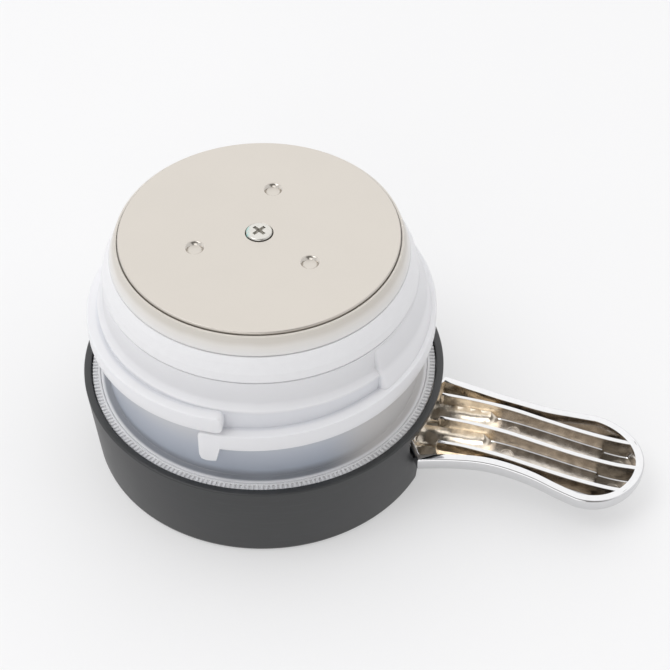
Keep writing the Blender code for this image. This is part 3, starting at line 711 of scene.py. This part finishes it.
def ridge(name, stations, root, corner=0.45):
    """A raised band on the wall: stations of (azimuth, low, high, outer radius)."""
    bm = bmesh.new()
    sections = []
    for azimuth, low, high, outer in stations:
        f = min(corner, (high - low) / 2.2, max(outer - root, 0.02) / 2)
        profile = [(root, low), (outer - f, low), (outer - f * 0.3, low + f * 0.3), (outer, low + f),
                   (outer, high - f), (outer - f * 0.3, high - f * 0.3), (outer - f, high), (root, high)]
        sections.append([polar(r, azimuth, z) for r, z in profile])
    lofted(bm, sections)
    return from_bmesh(name, bm, MILKY, merge=0.0005)


def thread():
    """One start of the thread, with a tapered lug under its first end."""
    stations = []
    turn_in = 2.0                           # rounding of the ends, in degrees
    places = [0.0, 0.15, 0.4, 0.8, 1.3, turn_in]
    places += [2.4, 3.2, 4.1, 4.9, 5.3, 5.5, 5.7, 5.9, 6.2, 6.5, 6.8, LUG_END, 7.5, 8.0]
    places += [8.0 + (THREAD_TURN - 16.0) * i / 80 for i in range(1, 80)]
    places += [THREAD_TURN - 8.0, THREAD_TURN - 4.0]
    places += [THREAD_TURN - p for p in (turn_in, 1.3, 0.8, 0.4, 0.15, 0.0)]
    for place in places:
        low = THREAD_LOW + THREAD_LEAD * place / 360
        high = low + THREAD_H
        ends = min(place, THREAD_TURN - place)
        tuck = 1.3 * (1 - math.sqrt(max(0.0, 1 - (1 - min(ends / turn_in, 1.0)) ** 2)))
        high -= tuck
        if place > 90:
            low += tuck
        lug = min(LUG_H - 0.15 * abs(place - 2.8), (LUG_END - place) * 3.2)
        lug = max(lug - 1.6 * max(0.0, 0.8 - place), 0.0)
        stations.append((THREAD_START + place, low - lug, high, THREAD_R - 0.25 * tuck))
    return round_the_axis(ridge("thread", stations, WALL_R - 0.9), 2, MILKY)


def web():
    """Where the wall is filled out to a cone beside the lever."""
    start = -29.0                           # azimuth of its first end, in degrees
    turn = 124.0
    places = [0.0, 0.3, 0.7, 1.2, 2.0] + [2.0 + (turn - 4.0) * i / 48 for i in range(1, 48)]
    places += [turn - 2.0, turn - 1.2, turn - 0.7, turn - 0.3, turn]
    bm = bmesh.new()
    sections = []
    for place in places:
        ends = min(place, turn - place)
        full = math.sqrt(max(0.0, 1 - (1 - min(ends / 2.0, 1.0)) ** 2))
        outer = [(GASKET_R + 0.1, GASKET_LOW - 0.9), (41.3, 54.6), (42.4, 51.4), (43.4, 48.0), (44.1, 45.0),
                 (44.7, 42.0), (44.9, THREAD_LOW + 2.0)]
        wall = [(39.9, GASKET_LOW - 0.9), (40.0, 54.6), (40.3, 51.4), (41.5, 48.0), (41.5, 45.0),
                (41.4, 42.0), (41.2, THREAD_LOW + 2.0)]
        face = [(w[0] + (o[0] - w[0]) * (0.25 + 0.75 * full), o[1]) for w, o in zip(wall, outer)]
        back = [(w[0] - 1.0, w[1]) for w in reversed(wall)]
        sections.append([polar(r, start + place, z) for r, z in face + back])
    lofted(bm, sections)
    return from_bmesh("web", bm, MILKY, merge=0.0005)


def body():
    """The hollow screw body, with the guide well of the stem standing inside it."""
    inner = WALL_R - WALL_T
    well_top = 37.7
    well_r = 15.0
    well_in_r = 13.2
    outline = [
        (NECK_END_R - 1.0, BODY_TOP), (DISC_R + 0.2, BODY_TOP), (DISC_R + 0.2, DISC_TOP - 0.7, 0.15),
        (NECK_END_R, DISC_TOP - 0.8, 0.35), (NOSE_R, GASKET_HIGH + GAP, 0.25),
        (GROOVE_R, GASKET_HIGH + GAP), (GROOVE_R, GASKET_LOW - GAP), (GASKET_R, GASKET_LOW - GAP, 0.3),
        (GASKET_R + 0.2, 53.0, 1.0), (WALL_R - 1.25, SHOULDER + 1.7, 1.2),
        (WALL_R + 0.25, SHOULDER + 0.35, 0.35), (WALL_R, SHOULDER - 0.8, 0.4), (WALL_R, THREAD_LOW, 0.5),
        (WALL_R - 0.8, FLANGE_TOP, 0.35), (FLANGE_R, FLANGE_TOP, 0.2), (FLANGE_R, FLANGE_UNDER),
        (well_in_r, FLANGE_UNDER), (well_in_r, well_top - 2.6, 0.5), (6.3, well_top - 2.6),
        (6.3, well_top), (6.6, well_top), (6.6, well_top + 3.0, 0.2), (8.4, well_top + 3.0, 0.2),
        (8.4, well_top, 0.3), (well_r, well_top, 0.6), (well_r, FLANGE_TOP, 0.6),
        (inner - 0.8, FLANGE_TOP, 1.5), (inner, SHOULDER - 1.0, 0.8), (inner - 1.2, SHOULDER + 1.2, 0.8),
        (GASKET_R - 2.0, GASKET_LOW - 2.0, 0.8), (GROOVE_R - 1.6, GASKET_LOW + 0.5, 0.8),
        (GROOVE_R - 1.6, BODY_TOP - 3.5, 0.5), (SEAT_R, BODY_TOP - 3.5, 0.3), (SEAT_R, BODY_TOP - 1.7, 0.3),
        (NECK_END_R - 1.0, BODY_TOP - 1.7, 0.3),
    ]
    made = turned("body", outline, MILKY, steps=288)
    shaped(made, web(), "UNION")
    shaped(made, thread(), "UNION")
    half = 15.0                             # of the pour window at the back
    corner = 1.5
    low = FLANGE_TOP + 2.0
    high = low + 9.0
    window = [(-half, low, corner), (half, low, corner), (half, high, corner), (-half, high, corner)]
    shaped(made, plate("window_tool", window, -60.0, -36.0, plane="YZ"), "DIFFERENCE")
    smooth(made, 28.0)
    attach(made, "stopper")
    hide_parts("stopper_body")


def locating_ring():
    """Ring round the flange with fine teeth on its outer edge."""
    toothed = FLANGE_TOP - 0.5
    inner = RING_R - 1.45
    outline = [(RING_IN_R, FLANGE_UNDER, 0.15), (RING_R, FLANGE_UNDER, 0.2), (RING_R, toothed),
               (inner, toothed), (inner, FLANGE_TOP, 0.15), (RING_IN_R, FLANGE_TOP, 0.2)]
    base = turned("ring_base", outline, MILKY_DENSE)
    tooth = plate("tooth", [(-0.42, toothed - 0.1), (0.42, toothed - 0.1), (0.30, FLANGE_TOP - 0.05, 0.18),
                            (-0.30, FLANGE_TOP - 0.05, 0.18)], inner - 0.1, RING_R - 0.02, MILKY_DENSE,
                  plane="YZ", parts=2)
    teeth = round_the_axis(tooth, TOOTH_COUNT, MILKY_DENSE)
    made = joined("locating_ring_toothed", base, teeth)
    smooth(made)
    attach(made, "stopper")
    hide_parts("locating_ring")


def gasket():
    """The white ring that seals the jug's mouth."""
    groove = GROOVE_R + GAP
    outline = [(groove, GASKET_HIGH, 0.2), (NOSE_R + 0.1, GASKET_HIGH, 0.35),
               (NOSE_R + 0.9, GASKET_HIGH - 1.6, 0.8), (GASKET_R - 0.35, GASKET_LOW + 2.4, 1.2),
               (GASKET_R, GASKET_LOW + 0.5, 0.4), (GASKET_R, GASKET_LOW, 0.3), (groove, GASKET_LOW, 0.2)]
    made = turned("gasket", outline, WHITE_SILICONE)
    smooth(made, 40.0)
    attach(made, "stopper")
    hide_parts("mouth_gasket")


# ---------------------------------------------------------------- disc and screw

def dimples(obj, material):
    """Copies at the three places of the disc's pressed dimples."""
    obj.data.transform(Matrix.Translation((DIMPLE_PLACE * MM, 0, 0)))
    return round_the_axis(obj, 3, material, DIMPLE_TURN)


def disc():
    """The valve's steel disc: rolled lip, three dimples and a pressed well for the screw."""
    lip = DISC_TOP - 1.5
    under = DISC_TOP - SHEET
    outline = [
        (DISC_R - 0.25, DISC_TOP - 0.02, 0.2), (DISC_R, DISC_TOP - 0.3, 0.3), (DISC_R, lip, 0.25),
        (DISC_R - SHEET, lip, 0.25), (DISC_R - SHEET, under, 0.3), (CUP_R + SHEET, under, 0.3),
        (CUP_R + SHEET, CUP_FLOOR - SHEET, 0.4), (2.3, CUP_FLOOR - SHEET), (2.3, CUP_FLOOR, 0.1),
        (CUP_R, CUP_FLOOR, 0.4), (CUP_R, DISC_TOP - 1.0, 0.2), (WELL_R, DISC_TOP - 0.7, 0.1),
        (WELL_R, DISC_TOP, 0.2), (DISC_R - 0.7, DISC_TOP, 0.2),
    ]
    sheet = turned("disc", outline, SATIN_SHEET, steps=288)
    hole = turned("hole", [(0.0, DISC_TOP - 2), (2.5, DISC_TOP - 2), (2.5, DISC_TOP + 1),
                           (0.0, DISC_TOP + 1)], steps=40)
    shaped(sheet, dimples(hole, SATIN_SHEET), "DIFFERENCE")
    floor = DISC_TOP - 0.78
    bowl = turned("bowl", [(0.0, floor - 0.03), (1.74, floor - 0.03, 0.05), (1.8, floor + 0.08, 0.1),
                           (2.0, DISC_TOP - 0.42, 0.25), (2.35, DISC_TOP - 0.1, 0.3),
                           (2.7, DISC_TOP + 0.02, 0.2), (2.7, DISC_TOP - 0.3), (2.3, floor - 0.07, 0.2),
                           (0.0, floor - 0.07)], PRESSED_SHEET, steps=48)
    flat = turned("flat", [(0.0, floor + 0.02), (1.62, floor + 0.02, 0.05), (1.68, floor - 0.05),
                           (0.0, floor - 0.05)], SATIN_SHEET, steps=48)
    made = joined("disc", sheet, dimples(bowl, PRESSED_SHEET), dimples(flat, SATIN_SHEET))
    smooth(made, 30.0)
    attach(made, "valve")
    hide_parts("valve_disc")


def disc_screw():
    """Pan head screw with a cross recess."""
    head = SCREW_LOW + 1.8
    outline = [(0.0, head), (2.2, head - 0.06, 1.0), (3.1, head - 0.28, 0.5), (SCREW_R, head - 0.55, 0.25),
               (SCREW_R, SCREW_LOW, 0.15), (2.0, SCREW_LOW, 0.2)]
    pitch = 0.7
    for turn in range(16):
        z = SCREW_LOW - 0.8 - turn * pitch
        outline += [(2.0, z, 0.05), (1.62, z - pitch / 2, 0.08)]
    outline += [(1.4, bottom("disc_screw"), 0.2), (0.0, bottom("disc_screw"))]
    made = turned("screw", outline, SCREW_STEEL, steps=64)
    for turn in (0.0, 90.0):
        slot = [(-1.9, head + 0.5), (-1.9, head - 0.55), (-0.8, head - 1.4), (0.8, head - 1.4),
                (1.9, head - 0.55), (1.9, head + 0.5)]
        tool = plate("slot_tool", slot, -0.45, 0.45, plane="XZ")
        tool.data.transform(Matrix.Rotation(math.radians(turn + RECESS_TURN), 4, "Z"))
        shaped(made, tool, "DIFFERENCE")
    made.data.transform(Matrix.Translation((SCREW_ASIDE[0] * MM, SCREW_ASIDE[1] * MM, 0)))
    smooth(made, 30.0)
    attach(made, "valve")
    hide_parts("disc_screw")


# ---------------------------------------------------------------- lever

RIB_TOP = curve_through([(40.0, 15.0), (46.0, 15.6), (56.0, 16.1), (66.0, 15.6), (76.0, 14.0), (86.0, 12.5),
                         (96.0, 11.8), (104.0, 12.4)])
RIM_OFFSET = curve_through([(40.0, -0.8), (46.0, -0.6), (56.0, -0.25), (66.0, 0.15), (75.0, 0.4),
                            (88.0, 0.3), (104.0, 0.0)])
SIDE = curve_through([(46.5, 15.9), (50.0, 15.1), (54.0, 14.25), (62.0, 12.9), (69.0, 12.6), (76.0, 13.0),
                      (83.0, 14.3), (TIP_X - PADDLE_R, PADDLE_R)])
FLOOR_DROP = curve_through([(40.0, 5.6), (48.0, 5.4), (58.0, 5.3), (62.5, 4.6), (64.0, 4.3), (91.6, 4.3),
                            (92.2, 5.2), (104.0, 5.2)])
CORNER_X = TIP_X - 57.1                 # where the tray comes out of the notch
ROOT_X = CORNER_X - 3.7
RIB_START = TIP_X - 55.4
RIB_STAGGER = 0.18                      # how far each rib starts before the next, per mm across
ROOT_HALF = 10.2
PADDLE_X = TIP_X - PADDLE_R
TRAY_DEPTH = 6.4
TRAY_WALL = 2.3
TRAY_SKIN = 0.6                         # under the inner floor
RIB_PITCH = 8.4
CHANNEL_R = 3.9                         # of the dished channels between the ribs near the collar
CHANNEL_END = 63.0


def half_width(x):
    """Half of the tray's width: slanted inside the notch, then waisted towards the paddle."""
    slant = ROOT_HALF + (x - ROOT_X) * (SIDE(CORNER_X) - ROOT_HALF) / (CORNER_X - ROOT_X)
    if x > PADDLE_X:
        return math.sqrt(max(PADDLE_R ** 2 - (x - PADDLE_X) ** 2, 0.0))
    gap = abs(slant - SIDE(x))
    return min(slant, SIDE(x)) - max(0.0, 0.5 - gap) ** 2 * 0.5


def rim_top(x):
    return RIB_TOP(x) + RIM_OFFSET(x)


def tray_plan():
    """Points of the tray's outer edge and the way inwards, from one corner at the root to the other."""
    places = [ROOT_X + (CORNER_X - ROOT_X - 0.6) * i / 5 for i in range(6)]
    places += [CORNER_X + 0.15 * i for i in range(-3, 5)]
    start = places[-1]
    places += [start + (PADDLE_X - start) * i / 36 for i in range(1, 36)]
    near = [(Vector((x, -half_width(x))), Vector((0.0, 1.0))) for x in places]
    tip = []
    for step in range(49):
        a = math.radians(-90 + 180 * step / 48)
        out = Vector((math.cos(a), math.sin(a)))
        tip.append((Vector((PADDLE_X, 0.0)) + out * PADDLE_R, -out))
    far = [(Vector((point.x, -point.y)), -inward) for point, inward in reversed(near)]
    return near + tip + far


def tray():
    """The dish: rounded outer edge, flat rim and thin wall, chromed outside and nickel inside."""
    bm = bmesh.new()
    section = [(0.37, 0.046), (0.18, 0.18), (0.046, 0.37), (0.0, 0.6), (0.0, 1.6), (0.12, 2.6), (0.5, 3.6),
               (1.1, 4.5), (2.0, 5.4), (3.1, 6.05), (4.4, 6.35)]
    rows = []
    for here, inward in tray_plan():
        heart = Vector((min(here.x, PADDLE_X), 0.0))
        foot = here + inward * 4.4
        edge = here + inward * (TRAY_WALL + 0.12)
        points = [(heart, TRAY_DEPTH)]
        points += [(heart.lerp(foot, share), TRAY_DEPTH + 0.05 * (1 - share))
                   for share in (0.25, 0.5, 0.75)]
        points += [(here + inward * inset, drop) for inset, drop in reversed(section)]
        points += [(here + inward * inset, drop) for inset, drop in
                   ((0.6, 0.0), (TRAY_WALL - 0.3, 0.0), (TRAY_WALL - 0.06, 0.08), (TRAY_WALL, 0.3))]
        level = TRAY_DEPTH - TRAY_SKIN
        points += [(edge, level), (edge.lerp(heart, 0.5), level), (heart, level)]
        rows.append([bm.verts.new((p.x * MM, p.y * MM, (rim_top(p.x) - drop) * MM)) for p, drop in points])
    inside = len(rows[0]) - 5
    for row, following in zip(rows, rows[1:]):
        for place in range(len(row) - 1):
            face = bm.faces.new((row[place], row[place + 1], following[place + 1], following[place]))
            face.material_index = 1 if place >= inside else 0
    bm.faces.new(rows[0])
    bm.faces.new(rows[-1])
    return from_bmesh("tray", bm, CHROME, NICKEL)


def tray_floor():
    """Inner floor: dished channels near the collar, flat along the handle and stepped at the tip."""
    bm = bmesh.new()
    places = [ROOT_X + 0.4 + 0.5 * i for i in range(38)]
    places += [62.2 + i for i in range(30)]
    places += [91.7, 92.2, 93.0, 94.0, 95.2, 95.5, 97.0, 98.5, 99.6, 100.4, 101.0, 101.4]
    across = 60
    reach = PADDLE_R - 2.1                  # the floor ends inside the round wall
    sections = []
    for x in places:
        past = max(0.0, x - PADDLE_X)
        if past == 0.0:
            half = half_width(x) - TRAY_WALL + 0.7
            foot = half - 2.0
        else:
            half = math.sqrt(max(reach ** 2 - past ** 2, 1.0))
            foot = math.sqrt(max((reach - 1.5) ** 2 - past ** 2, 0.3 ** 2))
        section = []
        for step in range(across + 1):
            y = -half + 2 * half * step / across
            aside = min(abs(abs(y) - RIB_PITCH / 2), 3.7)
            rise = CHANNEL_R - math.sqrt(CHANNEL_R ** 2 - aside ** 2)
            dish = max(0.0, min(1.0, (CHANNEL_END - x) / 2.0)) * rise
            section.append((x, y, rim_top(x) - FLOOR_DROP(x) + dish))
        deep = past < reach - 1.6
        low = rim_top(x) - (TRAY_DEPTH - TRAY_SKIN if deep else FLOOR_DROP(x) + 0.25)
        section += [(x, foot, low), (x, -foot, low)]
        sections.append(section)
    lofted(bm, sections)
    return from_bmesh("tray_floor", bm, NICKEL)


def ribs():
    """Three long ribs with flared feet and rounded tops."""
    bm = bmesh.new()
    steps = 89
    sections = []
    for step in range(steps + 1):
        x = RIB_START + (TIP_X - 1.6 - RIB_START) * step / steps
        half = 0.48 + 0.17 * min(1.0, max(0.0, (x - 56.0) / 8.0))
        low = rim_top(x) - FLOOR_DROP(x)
        high = RIB_TOP(x) - 1.2 * max(0.0, 1.0 - step) ** 2
        side = [(half + 0.45, low - 0.4), (half + 0.4, low), (half + 0.12, low + 0.12),
                (half + 0.04, low + 0.4), (half, high - 0.25), (half - 0.08, high - 0.06),
                (half - 0.25, high)]
        sections.append([(x, y, z) for y, z in side] + [(x, -y, z) for y, z in reversed(side)])
    lofted(bm, sections)
    rib = from_bmesh("rib", bm, CHROME, NICKEL)
    tree = Repeat("rib_repeat")
    tree.size("Count", 3, "NodeSocketInt")
    tree.size("Spacing", RIB_PITCH * MM)
    tree.start()
    step = tree.node("ShaderNodeCombineXYZ", None, {1: tree.given("Spacing")})
    first = tree.node("ShaderNodeCombineXYZ", None, {1: tree.given("Spacing") * -1.0})
    sockets = {"Count": tree.given("Count"), "Start Location": first.outputs[0], "Offset": step.outputs[0]}
    line = tree.node("GeometryNodeMeshLine", None, sockets)
    sockets = {"Points": line.outputs[0], "Instance": tree.input.outputs[0]}
    tree.finish(tree.node("GeometryNodeInstanceOnPoints", None, sockets).outputs[0], CHROME)
    tree.applied(rib)
    rib.data.materials.append(NICKEL)
    for face in rib.data.polygons:
        face.material_index = 1 if face.normal.z < 0.35 else 0
    return trimmed(rib)


def trimmed(rib):
    """The ribs start one before the other, and they end in the round wall of the paddle."""
    for vert in rib.data.vertices:
        x = vert.co.x / MM
        y = vert.co.y / MM
        vert.co.x -= RIB_STAGGER * y * max(0.0, 1.0 - (x - RIB_START) / 12.0) * MM
        if x > PADDLE_X:
            reach = PADDLE_R - (0.8 if vert.co.z / MM > RIB_TOP(x) - 1.0 else TRAY_WALL + 0.15)
            limit = PADDLE_X + math.sqrt(max(reach ** 2 - y * y, 0.0))
            if x > limit:
                vert.co.x = limit * MM
    bm = bmesh.new()
    bm.from_mesh(rib.data)
    bmesh.ops.remove_doubles(bm, verts=bm.verts, dist=0.001 * MM)
    bmesh.ops.dissolve_degenerate(bm, edges=bm.edges, dist=0.001 * MM)
    bm.to_mesh(rib.data)
    bm.free()
    return rib


def pin_marks():
    """Round marks of the mould's pins on the floor."""
    marks = []
    aside = RIB_PITCH / 2
    for index, (x, y) in enumerate(((68.0, aside), (68.0, -aside), (96.6, aside), (96.6, -aside))):
        z = rim_top(x) - FLOOR_DROP(x)
        outline = [(0.0, z - 0.3), (1.9, z - 0.3), (1.9, z + 0.22, 0.1), (1.6, z + 0.22, 0.1),
                   (1.55, z + 0.08, 0.05), (0.0, z + 0.08)]
        mark = turned(f"mark_{index}", outline, NICKEL, steps=40)
        mark.data.transform(Matrix.Translation((x * MM, y * MM, 0)))
        marks.append(mark)
    return marks


def inner_works():
    """Arms, eyes, crossbar and the curved shield behind the notch."""
    made = []
    shield_r1 = STEP_R - 1.6
    shield_r0 = shield_r1 - 1.6
    shield_low = 8.4
    shield_high = 15.0
    eye_r = 3.7
    bore_r = 1.58
    for side in (-1, 1):
        y0, y1 = sorted((side * 6.9, side * 9.1))
        eye = [(PIVOT_X + eye_r * math.cos(a), PIVOT_Z + eye_r * math.sin(a)) for a in
               (math.radians(90 + 15 * i) for i in range(13))]
        outline = eye + [(33.0, 5.6, 1.0), (shield_r0, shield_low, 1.0),
                         (ROOT_X + 1.5, rim_top(ROOT_X) - 6.0), (ROOT_X + 1.5, rim_top(ROOT_X) - 3.6),
                         (ROOT_X, 14.0), (shield_r0 - 2.5, 12.4, 1.0)]
        arm = plate(f"arm_{side}", outline, y0, y1, CHROME, plane="XZ", edge=0.25)
        bore = turned("bore_tool", [(0.0, -30.0), (bore_r, -30.0), (bore_r, 30.0), (0.0, 30.0)], steps=32)
        across = Matrix.Rotation(math.pi / 2, 4, "X")
        bore.data.transform(Matrix.Translation((PIVOT_X * MM, 0, PIVOT_Z * MM)) @ across)
        made.append(shaped(arm, bore, "DIFFERENCE"))
    bm = bmesh.new()
    section = ((shield_r0, shield_low), (shield_r1, shield_low), (shield_r1, shield_high),
               (shield_r0, shield_high))
    lofted(bm, [[polar(r, az * 0.5, z) for r, z in section] for az in range(-35, 36, 2)])
    made.append(from_bmesh("shield", bm, CHROME))
    made.append(plate("neck", [(shield_r0 + 0.2, -8.0), (ROOT_X + 1.0, -8.0), (ROOT_X + 1.0, 8.0),
                               (shield_r0 + 0.2, 8.0)], 8.8, 13.8, CHROME, edge=0.2))
    made.append(plate("pad", [(-3.0, 9.4, 0.8), (3.0, 9.4, 0.8), (3.0, 12.4, 0.8), (-3.0, 12.4, 0.8)],
                      -8.0, 8.0, CHROME, plane="XZ"))
    return made


def lever():
    """The chromed lever, one moulding from the paddle to the pivot."""
    made = joined("lever_chromed", tray(), tray_floor(), ribs(), *pin_marks(), *inner_works())
    smooth(made, 35.0)
    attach(made, "lever")
    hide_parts("lever")


# ---------------------------------------------------------------- pieces kept from the frame

KEPT = {
    "flange_seal": GREY_SILICONE, "valve_seal": GREY_SILICONE, "disc_washer": BLACK_RUBBER,
    "stem_oring": BLACK_RUBBER, "valve_carrier": MILKY_DENSE, "valve_stem": ACETAL, "stem_cap": ACETAL,
    "stem_bush": ACETAL, "stem_pin": STEEL, "spring_washer": STEEL, "oring_retainer": STEEL,
    "return_spring": STEEL, "lever_pin": STEEL, "pin_clip_left": STEEL, "pin_clip_right": STEEL,
    "cap_screw_1": STEEL, "cap_screw_2": STEEL, "cap_screw_3": STEEL,
}


def coat_kept_pieces():
    for name, material in KEPT.items():
        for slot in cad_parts[name].material_slots:
            slot.material = material


def spring_gives():
    """The return spring gets a mesh of its own."""
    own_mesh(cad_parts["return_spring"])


# ---------------------------------------------------------------- studio

def studio():
    """Pale floor, soft room light, three lamps and the camera."""
    reach = 3000.0
    floor = plate("studio_floor", [(-reach, -reach), (reach, -reach), (reach, reach), (-reach, reach)],
                  -20.0, 0.0, studio_floor())
    scene = bpy.context.scene
    scene.view_settings.view_transform = "Standard"
    world = bpy.data.worlds.new("soft_room")
    scene.world = world
    world.use_nodes = True
    room = Graph(world.node_tree)
    direction = room.node("ShaderNodeTexCoord").outputs["Generated"]
    height = room.value("ShaderNodeSeparateXYZ", None, {0: direction}, 2)
    # the wall behind the camera is dark, and the one across from it bright
    towards = {"back": (-0.207, 0.721, 0.661), "front": (0.221, -0.634, 0.741)}
    dot = {"operation": "DOT_PRODUCT"}
    sides = {name: room.value("ShaderNodeVectorMath", dot, {0: direction, 1: side}, 1)
             for name, side in towards.items()}
    light = room.tint((0.35, 0.35, 0.36), (0.98, 0.98, 0.99), height.between(0.02, 0.12))
    light = room.tint(light, (1.36, 1.36, 1.36), sides["back"].between(0.55, 0.9))
    light = room.tint(light, (0.26, 0.25, 0.24), sides["front"].between(0.76, 0.93))
    background = world.node_tree.nodes["Background"]
    world.node_tree.links.new(light, background.inputs["Color"])
    background.inputs["Strength"].default_value = 1.0
    lamps = (("key_lamp", (-0.55, -0.45, 1.45), 0.9, 5.0), ("side_lamp", (-1.2, 0.1, 0.7), 0.9, 0.5),
             ("front_lamp", (0.1, -1.15, 0.7), 0.9, 2.6))
    for name, place, size, power in lamps:
        data = bpy.data.lights.new(name, "AREA")
        data.shape = "DISK"
        data.size = size
        data.energy = power
        lamp = bpy.data.objects.new(name, data)
        scene.collection.objects.link(lamp)
        lamp.location = place
        lamp.rotation_euler = (Vector((0.0, 0.0, 0.03)) - Vector(place)).to_track_quat("-Z", "Y").to_euler()
    camera = bpy.data.objects.new("camera", bpy.data.cameras.new("camera"))
    scene.collection.objects.link(camera)
    camera.location = (0.11019, -0.31558, 0.36834)
    camera.rotation_euler = (math.radians(44.876), 0.0, math.radians(16.0))
    camera.data.lens = 96.23
    camera.data.sensor_width = 36.0
    camera.data.clip_start = 0.01
    scene.camera = camera


collar()
body()
locating_ring()
gasket()
disc()
disc_screw()
lever()
coat_kept_pieces()
spring_gives()
studio()
